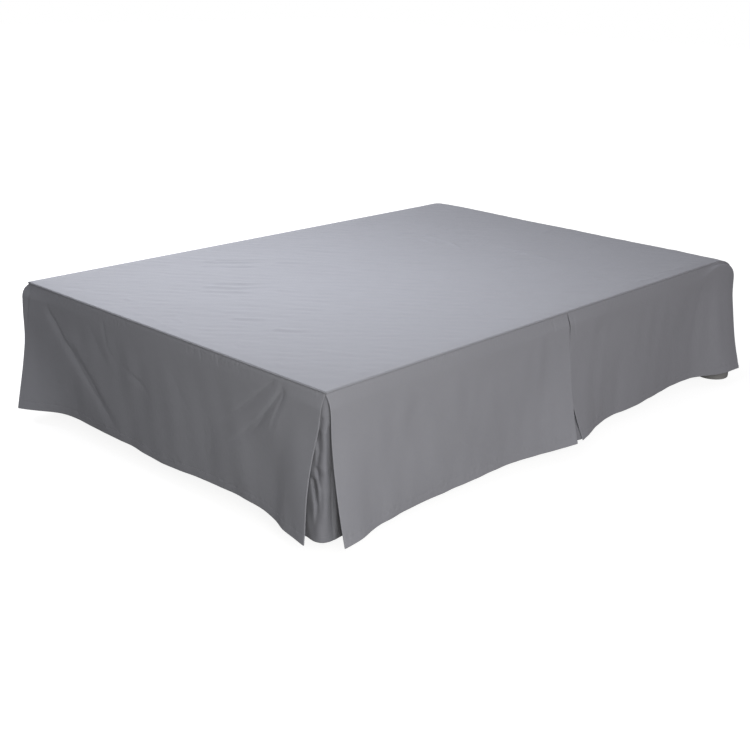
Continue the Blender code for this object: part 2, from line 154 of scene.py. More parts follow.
def add_lamp(lamp):
    """A square area light that looks at its aim."""
    data = bpy.data.lights.new(lamp.name, "AREA")
    data.shape = "SQUARE"
    data.size = lamp.size
    data.energy = lamp.power
    data.color = lamp.colour
    light = in_view(lamp.name, data)
    light.visible_camera = False
    back = np.array(lamp.place) - np.array(lamp.aim)
    back = back / np.linalg.norm(back)
    right = np.cross((0.0, 0.0, 1.0), back)
    right = right / np.linalg.norm(right)
    up = np.cross(back, right)
    turned = Matrix(np.column_stack([right, up, back]).tolist()).to_4x4()
    light.matrix_world = Matrix.Translation(lamp.place) @ turned
    return light


def split_by_ray(tree, lit, seen, output):
    """Give the output one shader for the camera and another for all other light."""
    path = add_node(tree, "ShaderNodeLightPath")
    feeds = {"Fac": path.outputs["Is Camera Ray"], 1: lit.outputs[0], 2: seen.outputs[0]}
    pick = add_node(tree, "ShaderNodeMixShader", feeds)
    add_node(tree, output, {"Surface": pick.outputs[0]})


def light_world(strength):
    """White to the camera, and an even grey light to everything else."""
    world = bpy.data.worlds.new("studio")
    world.use_nodes = True
    tree = world.node_tree
    tree.nodes.clear()
    seen = add_node(tree, "ShaderNodeBackground", {"Color": (1.0, 1.0, 1.0, 1.0), "Strength": 1.0})
    lit = add_node(tree, "ShaderNodeBackground", {"Color": SURROUND_COLOUR, "Strength": strength})
    split_by_ray(tree, lit, seen, "ShaderNodeOutputWorld")
    bpy.context.scene.world = world


def matte(tree, grey):
    """A plain grey diffuse shader."""
    return add_node(tree, "ShaderNodeBsdfDiffuse", {"Color": (grey, grey, grey, 1.0)})


def add_floor(spread):
    """A plain pale floor, far wider than the view."""
    mesh = bpy.data.meshes.new("floor")
    half = spread / 2
    corners = [(-half, -half, 0.0), (half, -half, 0.0), (half, half, 0.0), (-half, half, 0.0)]
    mesh.from_pydata(corners, [], [(0, 1, 2, 3)])
    material = bpy.data.materials.new("floor_white")
    material.use_nodes = True
    tree = material.node_tree
    tree.nodes.clear()
    place = add_node(tree, "ShaderNodeTexCoord").outputs["Object"]
    reach = add_node(tree, "ShaderNodeVectorMath", {0: place}, operation="LENGTH")
    feeds = dict(zip(("From Min", "From Max", "To Min", "To Max"), FLOOR_GLOW))
    feeds["Value"] = reach.outputs["Value"]
    fade = add_node(tree, "ShaderNodeMapRange", feeds, interpolation_type="SMOOTHSTEP")
    glow = add_node(tree, "ShaderNodeEmission", {"Strength": fade.outputs["Result"]})
    feeds = {0: matte(tree, FLOOR_SEEN).outputs[0], 1: glow.outputs[0]}
    seen = add_node(tree, "ShaderNodeAddShader", feeds)
    split_by_ray(tree, matte(tree, FLOOR_BOUNCE), seen, "ShaderNodeOutputMaterial")
    mesh.materials.append(material)
    floor = in_view("floor", mesh)
    return floor


for lamp in LAMPS:
    add_lamp(lamp)
light_world(SURROUND_LIGHT)
add_floor(FLOOR_SPREAD)
bpy.context.scene.view_settings.view_transform = "Standard"
print("lamps:", [lamp.name for lamp in LAMPS])

# %% [markdown]
# ## Sizes of the cut and of the hang
# All sizes are in metres. Places along a drop and on the deck are measured from
# the near foot corner, as a sewer would lay them out, and are moved to the
# middle of the bed only when a point is made.

# %% Sizes
DECK_WIDTH = 1.35
TOP_HEIGHT = 0.455
CENTRE_X = 1.030
CENTRE_Y = DECK_WIDTH / 2
HEAD_ROLL = 0.140
HEAD_ROLL_START = 1.990
HEAD_ROLL_FALL = 0.070
HEAD_END_FALL = 0.085
CLOTH_THICKNESS = 0.0018
UNDERLAY_THICKNESS = 0.0015
LIP_THICKNESS = 0.0007
SEAM_ROLL = 0.0055
SEAM_ROLL_AT_HEAD = 0.003
SEAM_ROLL_FADE = 0.08
SEAM_ANGLE = math.radians(50)
SEAM_LIP = 0.0014
SEAM_LIP_TAIL = 0.0022
# The drop is drawn in a little just below its seam
SEAM_TUCK = 0.0017
SEAM_TUCK_DEPTH = 0.0052
SEAM_TUCK_WIDTH = 0.0038
FACE_STANDOFF = 0.0028
DROP_LENGTH = 0.408
SHOULDER_DEPTH = 0.05
HEAD_SHOULDER_DEPTH = 0.020
FLARE_POWER = 1.8
HEAD_FLARE_POWER = 1.42
HEAD_FLARE_START = 1.90
HEAD_FLARE_RUN = 0.12
MITRE_FADE = 0.020
EDGE_REACH = 0.16
SIDE_SPLIT = 1.040
SPLIT_GAP = 0.0012
MITRE_GAP = 0.0008
HEM_DEPTH = 0.024
# Stitches lie this far outside the cloth
STITCH_LIFT = 0.0001
DROP_PITCH = 0.0033
DECK_PITCH = 0.0068
UNDERLAY_PITCH = 0.0036
print("drop length:", DROP_LENGTH, "deck width:", DECK_WIDTH)

# %% [markdown]
# ## Reading a table as a smooth curve
# Cloth never turns at a row of a table, so each table is read through a smooth
# curve that passes through its rows. The same helper gives a value for many
# places at once, which keeps a fine mesh quick to make.

# %% Curves and slow waves


def smooth_step(value):
    """Ease numbers from 0 to 1, level at both ends."""
    held = np.clip(value, 0.0, 1.0)
    return held * held * (3.0 - 2.0 * held)


def through_rows(places, values, wanted):
    """Values of a smooth curve through the rows, at the wanted places."""
    places = np.asarray(places, float)
    values = np.asarray(values, float)
    wanted = np.clip(np.asarray(wanted, float), places[0], places[-1])
    before = np.clip(np.searchsorted(places, wanted, side="right") - 1, 0, len(places) - 2)
    slopes = np.empty_like(values)
    slopes[1:-1] = (values[2:] - values[:-2]) / (places[2:] - places[:-2])
    slopes[0] = (values[1] - values[0]) / (places[1] - places[0])
    slopes[-1] = (values[-1] - values[-2]) / (places[-1] - places[-2])
    span = places[before + 1] - places[before]
    part = (wanted - places[before]) / span
    squared = part * part
    cubed = squared * part
    start = (2.0 * cubed - 3.0 * squared + 1.0) * values[before]
    start = start + (cubed - 2.0 * squared + part) * span * slopes[before]
    end = (3.0 * squared - 2.0 * cubed) * values[before + 1]
    return start + end + (cubed - squared) * span * slopes[before + 1]


def column(rows, name):
    """One named column of a table."""
    return [getattr(row, name) for row in rows]


def table(kind, *rows):
    """Rows of plain values as a table of one kind of named row."""
    return tuple(kind(*row) for row in rows)


# Each wave is up to this much slower or faster than the length that is asked for
WAVE_SPREAD = (0.45, 1.5)


def slow_waves(first, second, seed, first_length, second_length, count=14):
    """A smooth unevenness of about unit size, from a fixed seed."""
    draw = np.random.default_rng(seed)
    total = np.zeros(np.broadcast(first, second).shape)
    for _ in range(count):
        reach_1 = 2.0 * math.pi / first_length * draw.uniform(*WAVE_SPREAD) * draw.choice([-1.0, 1.0])
        reach_2 = 2.0 * math.pi / second_length * draw.uniform(*WAVE_SPREAD)
        total = total + np.cos(reach_1 * first + reach_2 * second + draw.uniform(0.0, 2.0 * math.pi))
    return total / math.sqrt(count / 2.0)


print("curve check:", through_rows([0, 1, 2], [0, 1, 0], [0.5, 1.0]).round(3))

# %% [markdown]
# ## Creases
# A crease in hung cloth is a soft trough, steep on one flank and long on the
# other, and it fades at both ends. Each row below gives the points that it
# passes, its width, its depth and the share of it that stands up as a ridge
# beside the long flank. A row with a negative width leans the other way.

# %% Crease field
Crease = namedtuple("Crease", "points width trough ridge")
# Shape across a crease, in its own widths, and the shares of its length over which it fades
LONG_FLANK, STEEP_FLANK, TROUGH_POWER = 0.55, 1.5, 1.6
RIDGE_PLACE, RIDGE_WIDTH = 3.0, 1.6
FADE_IN, FADE_OUT = 0.12, 0.45


def crease_shift(creases, first, second):
    """How far the creases move each point of a sheet along its normal."""
    moved = np.zeros(first.shape)
    for crease in creases:
        points = np.array(crease.points, float)
        steps = np.diff(points, axis=0)
        lengths = np.hypot(steps[:, 0], steps[:, 1])
        starts = np.concatenate([[0.0], np.cumsum(lengths)])
        nearest = np.full(first.shape, np.inf)
        signed = np.zeros(first.shape)
        share = np.zeros(first.shape)
        for index, (step, length) in enumerate(zip(steps, lengths)):
            from_1 = first - points[index, 0]
            from_2 = second - points[index, 1]
            run = (from_1 * step[0] + from_2 * step[1]) / length
            held = np.clip(run, 0.0, length)
            off_1 = from_1 - held * step[0] / length
            off_2 = from_2 - held * step[1] / length
            distance = np.hypot(off_1, off_2)
            side = np.sign(from_1 * step[1] - from_2 * step[0])
            closer = distance < nearest
            nearest = np.where(closer, distance, nearest)
            signed = np.where(closer, distance * side, signed)
            share = np.where(closer, (starts[index] + held) / starts[-1], share)
        place = signed / crease.width
        across = np.where(place > 0.0, place * LONG_FLANK, place * STEEP_FLANK)
        trough = np.exp(-np.abs(across) ** TROUGH_POWER)
        ridge = np.exp(-(((place - RIDGE_PLACE) / RIDGE_WIDTH) ** 2))
        fade = smooth_step(share / FADE_IN) * smooth_step((1.0 - share) / FADE_OUT)
        moved = moved + crease.trough * fade * (crease.ridge * ridge - trough)
    return moved


print("crease rows hold:", Crease._fields)

# %% [markdown]
# ## From a grid of points to a real sheet
# Cloth has two sides and a soft edge. Every sheet here starts as a grid of
# points on its outer side. The helper lays the inner side a thickness behind,
# on a grid twice as coarse because nobody looks at it closely, and joins the two
# with a rounded rim. Solidify would be quicker to type, but it leaves square
# edges and makes both sides equally heavy.

# %% Sheet builder
RIM_ANGLES = (math.radians(45), math.radians(90), math.radians(135))


def unit(vectors):
    """Vectors of length one."""
    return vectors / np.maximum(np.linalg.norm(vectors, axis=-1, keepdims=True), 1e-12)


def rim_order(rows, columns):
    """Grid places once round the edge of a sheet."""
    top = [(0, c) for c in range(columns - 1)]
    right = [(r, columns - 1) for r in range(rows - 1)]
    bottom = [(rows - 1, c) for c in range(columns - 1, 0, -1)]
    left = [(r, 0) for r in range(rows - 1, 0, -1)]
    return np.array(top + right + bottom + left)


def cloth_sheet(name, points, thickness, outward, material):
    """A closed sheet from its grid of outer points; both counts of points are odd."""
    rows, columns, _ = points.shape
    normal = unit(np.cross(np.gradient(points, axis=1), np.gradient(points, axis=0)))
    if (normal @ np.array(outward)).mean() < 0.0:
        normal = -normal
    middle = np.cross(
        points[rows // 2 + 1, columns // 2] - points[rows // 2, columns // 2],
        points[rows // 2, columns // 2 + 1] - points[rows // 2, columns // 2],
    )
    turned = float(middle @ normal[rows // 2, columns // 2]) < 0.0
    inner = points - normal * np.broadcast_to(thickness, (rows, columns))[..., None]
    order = rim_order(rows, columns)
    r, c = order[:, 0], order[:, 1]
    aside = np.zeros((rows, columns, 3))
    aside[0] += unit(points[0] - points[1])
    aside[-1] += unit(points[-1] - points[-2])
    aside[:, 0] += unit(points[:, 0] - points[:, 1])
    aside[:, -1] += unit(points[:, -1] - points[:, -2])
    aside = unit(aside)[r, c]
    half_way, half = (points[r, c] + inner[r, c]) / 2.0, (points[r, c] - inner[r, c]) / 2.0
    radius = np.linalg.norm(half, axis=1, keepdims=True)
    rims = [half_way + math.cos(a) * half + math.sin(a) * radius * aside for a in RIM_ANGLES]
    coarse = inner[::2, ::2]
    vertices = np.concatenate([points.reshape(-1, 3), *rims, coarse.reshape(-1, 3)])

    along = np.linalg.norm(np.diff(points[rows // 2], axis=0), axis=1)
    across = np.linalg.norm(np.diff(points[:, columns // 2], axis=0), axis=1)
    flat_u, flat_v = np.meshgrid(np.r_[0.0, np.cumsum(along)], np.r_[0.0, np.cumsum(across)])
    flat = np.stack([flat_u, flat_v], axis=-1)
    flats = np.concatenate([flat.reshape(-1, 2), *[flat[r, c]] * len(rims), flat[::2, ::2].reshape(-1, 2)])

    grid = np.arange(rows * columns).reshape(rows, columns)
    outer_faces = np.stack([grid[:-1, :-1], grid[1:, :-1], grid[1:, 1:], grid[:-1, 1:]], -1)
    faces = outer_faces.reshape(-1, 4).tolist()
    loops = [grid[r, c]]
    for index in range(len(rims)):
        loops.append(rows * columns + index * len(order) + np.arange(len(order)))
    for outer, next_in in zip(loops, loops[1:]):
        ahead, next_ahead = np.roll(outer, -1), np.roll(next_in, -1)
        faces += np.stack([outer, ahead, next_ahead, next_in], -1).tolist()
    first = rows * columns + len(rims) * len(order)
    back = first + np.arange(coarse.shape[0] * coarse.shape[1]).reshape(coarse.shape[:2])
    rim_back = back[r[::2] // 2, c[::2] // 2]
    last = loops[-1]
    ring = [last[0::2], last[1::2], np.roll(last[0::2], -1), np.roll(rim_back, -1), rim_back]
    faces += np.stack(ring, -1).tolist()
    back_faces = np.stack([back[:-1, :-1], back[:-1, 1:], back[1:, 1:], back[1:, :-1]], -1)
    faces += back_faces.reshape(-1, 4).tolist()
    if turned:
        faces = [corners[::-1] for corners in faces]

    mesh = bpy.data.meshes.new(name)
    mesh.from_pydata(vertices.tolist(), [], faces)
    layer = mesh.uv_layers.new(name="flat_cloth")
    corners = np.zeros(len(mesh.loops), int)
    mesh.loops.foreach_get("vertex_index", corners)
    layer.data.foreach_set("uv", flats[corners].astype(np.float32).ravel())
    mesh.materials.append(material)
    mesh.shade_smooth()
    return in_view(name, mesh), normal


def odd_places(start, end, pitch):
    """Even places from start to end, an odd number of them, about a pitch apart."""
    half = max(round((end - start) / pitch / 2.0), 1)
    return np.linspace(start, end, 2 * half + 1)


def triangle_count(piece):
    """How many triangles a mesh piece has."""
    piece.data.calc_loop_triangles()
    return len(piece.data.loop_triangles)


print("rim steps:", len(RIM_ANGLES))

# %% [markdown]
# ## How the cloth turns at the seam
# Deck and drop are sewn face to face, and the seam allowance lies inside. From
# outside that shows as two soft lips that meet in a fine groove, a few
# millimetres below the edge of the base. One profile serves both cloths: it
# follows the rounded edge of the base, then turns in at the lip.

# %% Seam profile
LIP_PLACES = np.array([-2.0, -1.0, -0.75, -0.5, -0.25])


def arc_point(roll, angle):
    """Out from the seam plane and down from the deck, on the rounded edge."""
    return FACE_STANDOFF - roll + roll * np.sin(angle), roll - roll * np.cos(angle)


def lip_point(roll, angle, share, towards):
    """The lip at a seam, for a share from 0 at its start to -1 turned in and -2 inside."""
    out, down = arc_point(roll, angle)
    turn = np.clip(-share, 0.0, 1.0) * math.pi / 2
    tail = np.clip(-1.0 - share, 0.0, 1.0) * SEAM_LIP_TAIL
    face_out, face_down = np.sin(angle), -np.cos(angle)
    rise = SEAM_LIP * np.cos(turn) - SEAM_LIP - tail
    shift = SEAM_LIP * np.sin(turn) * towards
    return out + face_out * rise + np.cos(angle) * shift, down + face_down * rise + np.sin(angle) * shift


def seam_roll(along):
    """Radius of the turn at the side seam, tight where the deck rolls over the head end."""
    fade = smooth_step((along - (HEAD_ROLL_START - SEAM_ROLL_FADE)) / SEAM_ROLL_FADE)
    return SEAM_ROLL + (SEAM_ROLL_AT_HEAD - SEAM_ROLL) * fade


def head_fall(along):
    """How far the deck has sunk at a distance from the foot end, over its head roll."""
    reach = np.clip((along - HEAD_ROLL_START) / HEAD_ROLL, 0.0, 1.0)
    return HEAD_ROLL_FALL * (1.0 - np.sqrt(1.0 - reach * reach))


print("seam groove below the deck, mm:", round(float(arc_point(SEAM_ROLL, SEAM_ANGLE)[1]) * 1000, 1))

# %% [markdown]
# ## Cloth, thread, base and foot finishes
# The skirt is one plain woven cotton blend. Close to, it is a fine weave with
# thicker yarns here and there; from the camera it is an even cool grey with very
# faint clouds. The weave and the clouds are node groups, since the cover of the
# base uses them too, and both read the flat cloth's own coordinates in metres,
# so the yarns run with the cut.

# %% Node groups
# How thick and thin places stretch along the warp and the weft, and the noise that makes them
SLUB_STRETCHES = ((900.0, 38.0, 1.0), (38.0, 900.0, 1.0))
SLUB_NOISE = (1.0, 3.0, 0.6)
CROSSING_HEIGHT = 0.5
# Noise of the broad and the close dye clouds, and the share of each
BROAD_CLOUDS = (3.0, 2.0)
CLOSE_CLOUDS = (24.0, 3.0, 0.6)
CLOUD_SHARES = (0.65, 0.35)


def new_group(name, inputs, outputs):
    """An empty shader group with named sockets."""
    group = bpy.data.node_groups.new(name, "ShaderNodeTree")
    for title, kind, value in inputs:
        socket = group.interface.new_socket(title, in_out="INPUT", socket_type=kind)
        if value is not None:
            socket.default_value = value
    for title, kind in outputs:
        group.interface.new_socket(title, in_out="OUTPUT", socket_type=kind)
    start = group.nodes.new("NodeGroupInput")
    end = group.nodes.new("NodeGroupOutput")
    return group, start, end


def maths(tree, operation, *values):
    """The result of a Math node fed by sockets or plain numbers."""
    return add_node(tree, "ShaderNodeMath", dict(enumerate(values)), operation=operation).outputs[0]


def noise(tree, vector, scale, detail=2.0, roughness=0.5, stretch=None):
    """A Noise Texture's value, on stretched coordinates where asked."""
    if stretch is not None:
        mapping = add_node(tree, "ShaderNodeMapping", {"Scale": stretch, "Vector": vector})
        vector = mapping.outputs["Vector"]
    feeds = {"Detail": detail, "Roughness": roughness, "Scale": scale, "Vector": vector}
    return add_node(tree, "ShaderNodeTexNoise", feeds).outputs["Fac"]


def mix(tree, feeds, **settings):
    """A Mix node's colour."""
    return add_node(tree, "ShaderNodeMix", feeds, data_type="RGBA", **settings).outputs["Result"]


def bump(tree, height, strength, distance):
    """The normal of a Bump node."""
    feeds = {"Height": height, "Strength": strength, "Distance": distance}
    return add_node(tree, "ShaderNodeBump", feeds).outputs["Normal"]


def weave_group():
    """Over and under yarns, with uneven yarns, as a height and a shade."""
    group, start, end = new_group(
        "plain_weave",
        [("Vector", "NodeSocketVector", None), ("Yarns per Metre", "NodeSocketFloat", 1400.0),
         ("Slub", "NodeSocketFloat", 0.5)],
        [("Height", "NodeSocketFloat"), ("Shade", "NodeSocketFloat")],
    )
    split = add_node(group, "ShaderNodeSeparateXYZ", {0: start.outputs["Vector"]})
    turns = maths(group, "MULTIPLY", start.outputs["Yarns per Metre"], math.pi)
    warp = maths(group, "SINE", maths(group, "MULTIPLY", split.outputs["X"], turns))
    weft = maths(group, "SINE", maths(group, "MULTIPLY", split.outputs["Y"], turns))
    crossing = maths(group, "MULTIPLY", warp, weft)
    slubs = [noise(group, start.outputs["Vector"], *SLUB_NOISE, stretch) for stretch in SLUB_STRETCHES]
    slubs = maths(group, "SUBTRACT", maths(group, "ADD", *slubs), 1.0)
    raised = maths(group, "MULTIPLY", slubs, start.outputs["Slub"])
    height = maths(group, "MULTIPLY_ADD", crossing, CROSSING_HEIGHT, raised)
    group.links.new(height, end.inputs["Height"])
    group.links.new(maths(group, "ADD", raised, 0.5), end.inputs["Shade"])
    return group


def cloud_group():
    """Faint clouds of lighter and darker dye over a cloth, around the value one."""
    group, start, end = new_group(
        "dye_clouds",
        [("Vector", "NodeSocketVector", None), ("Amount", "NodeSocketFloat", 0.05)],
        [("Value", "NodeSocketFloat")],
    )
    clouds = [noise(group, start.outputs["Vector"], *kind) for kind in (BROAD_CLOUDS, CLOSE_CLOUDS)]
    shares = [maths(group, "MULTIPLY", cloud, share) for cloud, share in zip(clouds, CLOUD_SHARES)]
    both = maths(group, "ADD", *shares)
    swing = maths(group, "MULTIPLY", maths(group, "SUBTRACT", both, 0.5), start.outputs["Amount"])
    group.links.new(maths(group, "MULTIPLY_ADD", swing, 2.0, 1.0), end.inputs["Value"])
    return group


WEAVE = weave_group()
CLOUDS = cloud_group()
print("groups:", WEAVE.name, CLOUDS.name)

# %% Materials
ClothFinish = namedtuple("ClothFinish", "name colour yarns depth slub clouds sheen roughness")

SKIRT_COLOUR = (0.262, 0.267, 0.292)
DECK_FINISH = ClothFinish("deck_cloth", SKIRT_COLOUR, 1500.0, 0.00010, 0.55, 0.035, 0.10, 0.88)
DROP_FINISH = ClothFinish("drop_cloth", SKIRT_COLOUR, 1500.0, 0.00010, 0.55, 0.030, 0.10, 0.90)
# The underlay is the same cloth in a darker colour: painted shade for the shade it hangs in behind the drops
UNDERLAY_PAINTED_SHADE_FINISH = DROP_FINISH._replace(name="underlay_painted_shade_cloth", colour=(0.203, 0.206, 0.227))
COVER_FINISH = ClothFinish("base_cover", (0.60, 0.59, 0.555), 900.0, 0.00022, 0.8, 0.05, 0.15, 0.92)
# How much the yarns' shade changes the colour, and the tone that it starts from
YARN_TONE = (0.16, 0.92)
WEAVE_STRENGTH = 0.6
CLOTH_SPECULAR = 0.25
SHEEN_ROUGHNESS = 0.5
# Tints are shares of a colour, for its darkest and its lightest places
THREAD_COLOUR = (0.25, 0.255, 0.28)
THREAD_TINTS = (0.85, 1.15)
THREAD_TWIST = 2600.0
THREAD_ROUGHNESS = 0.7
FOOT_COLOUR = (0.27, 0.27, 0.268)
FOOT_TINTS = (0.90, 1.12)
FOOT_GRAIN = 900.0
FOOT_SCUFFS = (26.0, 4.0, 0.62)
# How much a scuff dulls the foot, and how rough it is without one
SCUFF_ROUGHNESS = (0.25, 0.42)
GRAIN_STRENGTH = 0.4
GRAIN_DEPTH = 0.0001


def new_material(name, coordinates):
    """A material with its tree, its shader and one kind of coordinates."""
    material = bpy.data.materials.new(name)
    material.use_nodes = True
    tree = material.node_tree
    place = add_node(tree, "ShaderNodeTexCoord").outputs[coordinates]
    return material, tree, tree.nodes["Principled BSDF"], place


def tinted(tree, colour, tints, factor):
    """A colour that goes from its darker to its lighter tint with a factor."""
    dark, light = [(*[value * share for value in colour], 1.0) for share in tints]
    return mix(tree, {"A": dark, "B": light, "Factor": factor})


def cloth_material(finish, coordinates):
    """A woven cloth: dye clouds and yarn shade in its colour, weave in its bump."""
    material, tree, shader, place = new_material(finish.name, coordinates)
    feeds = {"Yarns per Metre": finish.yarns, "Slub": finish.slub, "Vector": place}
    weave = add_node(tree, "ShaderNodeGroup", feeds, node_tree=WEAVE)
    feeds = {"Amount": finish.clouds, "Vector": place}
    clouds = add_node(tree, "ShaderNodeGroup", feeds, node_tree=CLOUDS)
    yarn_tone = maths(tree, "MULTIPLY_ADD", weave.outputs["Shade"], *YARN_TONE)
    tone = maths(tree, "MULTIPLY", clouds.outputs["Value"], yarn_tone)
    grey = add_node(tree, "ShaderNodeCombineColor", {"Red": tone, "Green": tone, "Blue": tone})
    feeds = {"Factor": 1.0, "A": (*finish.colour, 1.0), "B": grey.outputs["Color"]}
    feed(tree, shader, {
        "Base Color": mix(tree, feeds, blend_type="MULTIPLY"),
        "Normal": bump(tree, weave.outputs["Height"], WEAVE_STRENGTH, finish.depth),
        "Roughness": finish.roughness,
        "Specular IOR Level": CLOTH_SPECULAR,
        "Sheen Weight": finish.sheen,
        "Sheen Roughness": SHEEN_ROUGHNESS,
    })
    material.diffuse_color = (*finish.colour, 1.0)
    return material


def thread_material(name, colour):
    """Sewing thread: a little smoother than the cloth, with a fine twist."""
    material, tree, shader, place = new_material(name, "Object")
    tint = tinted(tree, colour, THREAD_TINTS, noise(tree, place, THREAD_TWIST, 1.0))
    feed(tree, shader, {"Base Color": tint, "Roughness": THREAD_ROUGHNESS})
    return material


def foot_material(name, colour):
    """Moulded grey plastic: fine grain, and scuffs that dull it in patches."""
    material, tree, shader, place = new_material(name, "Object")
    grain = noise(tree, place, FOOT_GRAIN)
    scuffs = noise(tree, place, *FOOT_SCUFFS)
    feed(tree, shader, {
        "Base Color": tinted(tree, colour, FOOT_TINTS, scuffs),
        "Roughness": maths(tree, "MULTIPLY_ADD", scuffs, *SCUFF_ROUGHNESS),
        "Normal": bump(tree, grain, GRAIN_STRENGTH, GRAIN_DEPTH),
    })
    return material


deck_cloth = cloth_material(DECK_FINISH, "UV")
drop_cloth = cloth_material(DROP_FINISH, "UV")
# The underlays get a darker copy of the drop cloth, painted shade
underlay_painted_shade_cloth = cloth_material(UNDERLAY_PAINTED_SHADE_FINISH, "UV")
base_cover = cloth_material(COVER_FINISH, "Object")
thread = thread_material("skirt_thread", THREAD_COLOUR)
foot_plastic = foot_material("foot_plastic", FOOT_COLOUR)
finishes = (deck_cloth, drop_cloth, underlay_painted_shade_cloth, base_cover, thread, foot_plastic)
print("materials:", [finish.name for finish in finishes])

# %% [markdown]
# ## The deck
# The deck is one rectangle of cloth with hems at the head end. It lies flat, so
# nearly all of its shape is small: packing folds that have not hung out yet, and
# a roll over the head end of the base. The creases only stand up, never down,
# because the base is right under the cloth.

# %% Deck
DECK_CREASES = table(
    Crease,
    (((0.57, 1.20), (0.66, 1.11), (0.77, 1.04)), 0.0075, 0.0030, 0.5),
    (((0.61, 1.20), (0.70, 1.12), (0.82, 1.03)), 0.0070, 0.0024, 0.5),
    (((0.53, 1.16), (0.63, 1.06), (0.72, 1.00)), 0.0070, 0.0024, 0.5),
    (((0.76, 1.03), (0.87, 0.90)), 0.0070, 0.0022, 0.5),
    (((0.37, 0.95), (0.45, 0.86), (0.55, 0.79)), 0.0075, 0.0030, 0.5),
    (((0.33, 0.92), (0.42, 0.82), (0.50, 0.76)), 0.0070, 0.0024, 0.5),
    (((0.42, 0.96), (0.50, 0.88), (0.61, 0.80)), 0.0070, 0.0024, 0.5),
    (((0.52, 0.76), (0.61, 0.65)), 0.0065, 0.0020, 0.4),
    (((0.22, 0.62), (0.27, 0.56), (0.31, 0.53)), 0.0065, 0.0022, 0.4),
    (((0.24, 0.46), (0.28, 0.40), (0.32, 0.37)), 0.0065, 0.0022, 0.4),
    (((0.53, 0.60), (0.60, 0.53)), 0.006, 0.0010, 0.3),
    (((0.115, 0.985), (0.108, 0.95)), 0.0045, 0.0018, 0.4),
    (((0.100, 0.72), (0.090, 0.67)), 0.0045, 0.0018, 0.4),
    (((0.085, 0.43), (0.074, 0.38)), 0.0045, 0.0018, 0.4),
    (((0.052, 0.24), (0.044, 0.19)), 0.0045, 0.0018, 0.4),
    (((0.051, 0.876), (0.040, 0.70), (0.026, 0.516)), 0.005, 0.0010, 0.2),
    (((1.44, 1.09), (1.49, 0.97), (1.47, 0.82), (1.38, 0.65)), 0.0100, 0.0030, 0.4),
    (((1.40, 1.06), (1.43, 0.93), (1.41, 0.80)), 0.0090, 0.0022, 0.4),
    (((1.565, 0.67), (1.55, 0.50), (1.52, 0.30)), 0.0100, 0.0026, 0.4),
    (((1.50, 0.040), (1.62, 0.028), (1.72, 0.040)), 0.0055, 0.0016, 0.4),
    (((1.66, 0.062), (1.76, 0.040), (1.88, 0.044)), 0.0055, 0.0016, 0.4),
    (((1.861, 0.687), (1.92, 0.70), (1.981, 0.705)), 0.007, 0.0010, 0.2),
)

# The deck was folded in its packet at a slant, which these two shares of a unit step give
FOLD_ALONG, FOLD_ACROSS = 0.676, 0.737
Wave = namedtuple("Wave", "height lift seed lengths packed")
DECK_WAVES = table(
    Wave,
    (0.00032, 1.4, 11, (0.30, 0.05), True),
    (0.00020, 1.4, 12, (0.09, 0.022), True),
    (0.00040, 1.8, 13, (0.50, 0.50), False),
)
DECK_FLAT_RIM = 0.003
DECK_RIM_FADE = 0.03
ROLL_POINTS = 24
HANG_POINTS = 4
# Shares of the turn at the deck's edges, how square its corners are, and its thickness past the lip
EDGE_PLACES = np.array([0.0, 0.2, 0.4, 0.6, 0.8])
CORNER_POWER = 3
LIP_RAMP = (0.0010, 0.0014)


def deck_points():
    """Grid of points on top of the deck, from the foot seam over the head roll."""
    edge = np.r_[LIP_PLACES, EDGE_PLACES]
    flat_across = odd_places(-1.0, 1.0, DECK_PITCH / CENTRE_Y)
    flat_along = np.arange(SEAM_ROLL - FACE_STANDOFF, HEAD_ROLL_START, DECK_PITCH)
    over = np.linspace(0.0, math.pi / 2, ROLL_POINTS)
    hang = np.linspace(HEAD_ROLL_FALL, HEAD_END_FALL, HANG_POINTS)[1:]
    if (len(edge) + len(flat_along) + len(over) + len(hang)) % 2 == 0:
        over = np.linspace(0.0, math.pi / 2, ROLL_POINTS + 1)
    rolled = HEAD_ROLL_START + HEAD_ROLL * np.sin(over)
    along = np.r_[np.zeros(len(edge)), flat_along, rolled]
    along = np.r_[along, np.full(len(hang), HEAD_ROLL_START + HEAD_ROLL)]
    sunk = np.r_[np.zeros(len(edge) + len(flat_along)), head_fall(rolled), hang]
    turn = np.r_[np.zeros(len(edge) + len(flat_along)), over, np.full(len(hang), math.pi / 2)]
    foot_share = np.r_[edge, np.ones(len(flat_along) + len(over) + len(hang))]
    side_share = np.r_[edge, np.ones(len(flat_across)), edge[::-1]]
    side = np.r_[-np.ones(len(edge)), flat_across, np.ones(len(edge))]

    roll = seam_roll(along)[:, None]
    side_out, side_down = edge_offset(roll, side_share[None, :])
    foot_out, foot_down = edge_offset(SEAM_ROLL, foot_share[:, None])
    is_edge = (side_share < 1.0)[None, :]
    flat_half = CENTRE_Y + FACE_STANDOFF - roll
    across = np.where(is_edge, np.sign(side)[None, :] * (CENTRE_Y + side_out), side[None, :] * flat_half)
    down = (np.abs(side_down) ** CORNER_POWER + np.abs(foot_down) ** CORNER_POWER) ** (1.0 / CORNER_POWER)
    place = np.where(foot_share[:, None] < 1.0, -foot_out, along[:, None]) + 0.0 * across
    lifted = deck_relief(place, across + CENTRE_Y)
    proud = lifted - down
    x = place + proud * np.sin(turn)[:, None] - CENTRE_X
    z = TOP_HEIGHT - sunk[:, None] + proud * np.cos(turn)[:, None]
    return np.stack([x, across, z], axis=-1)


def edge_offset(roll, share):
    """Offset out and down at an edge of the deck, share 1 being flat and -2 inside the seam."""
    angle = SEAM_ANGLE - SEAM_LIP / roll
    arc_out, arc_down = arc_point(roll, angle * (1.0 - np.clip(share, 0.0, 1.0)))
    lip_out, lip_down = lip_point(roll, angle, share, 1.0)
    return np.where(share < 0.0, lip_out, arc_out), np.where(share < 0.0, lip_down, arc_down)


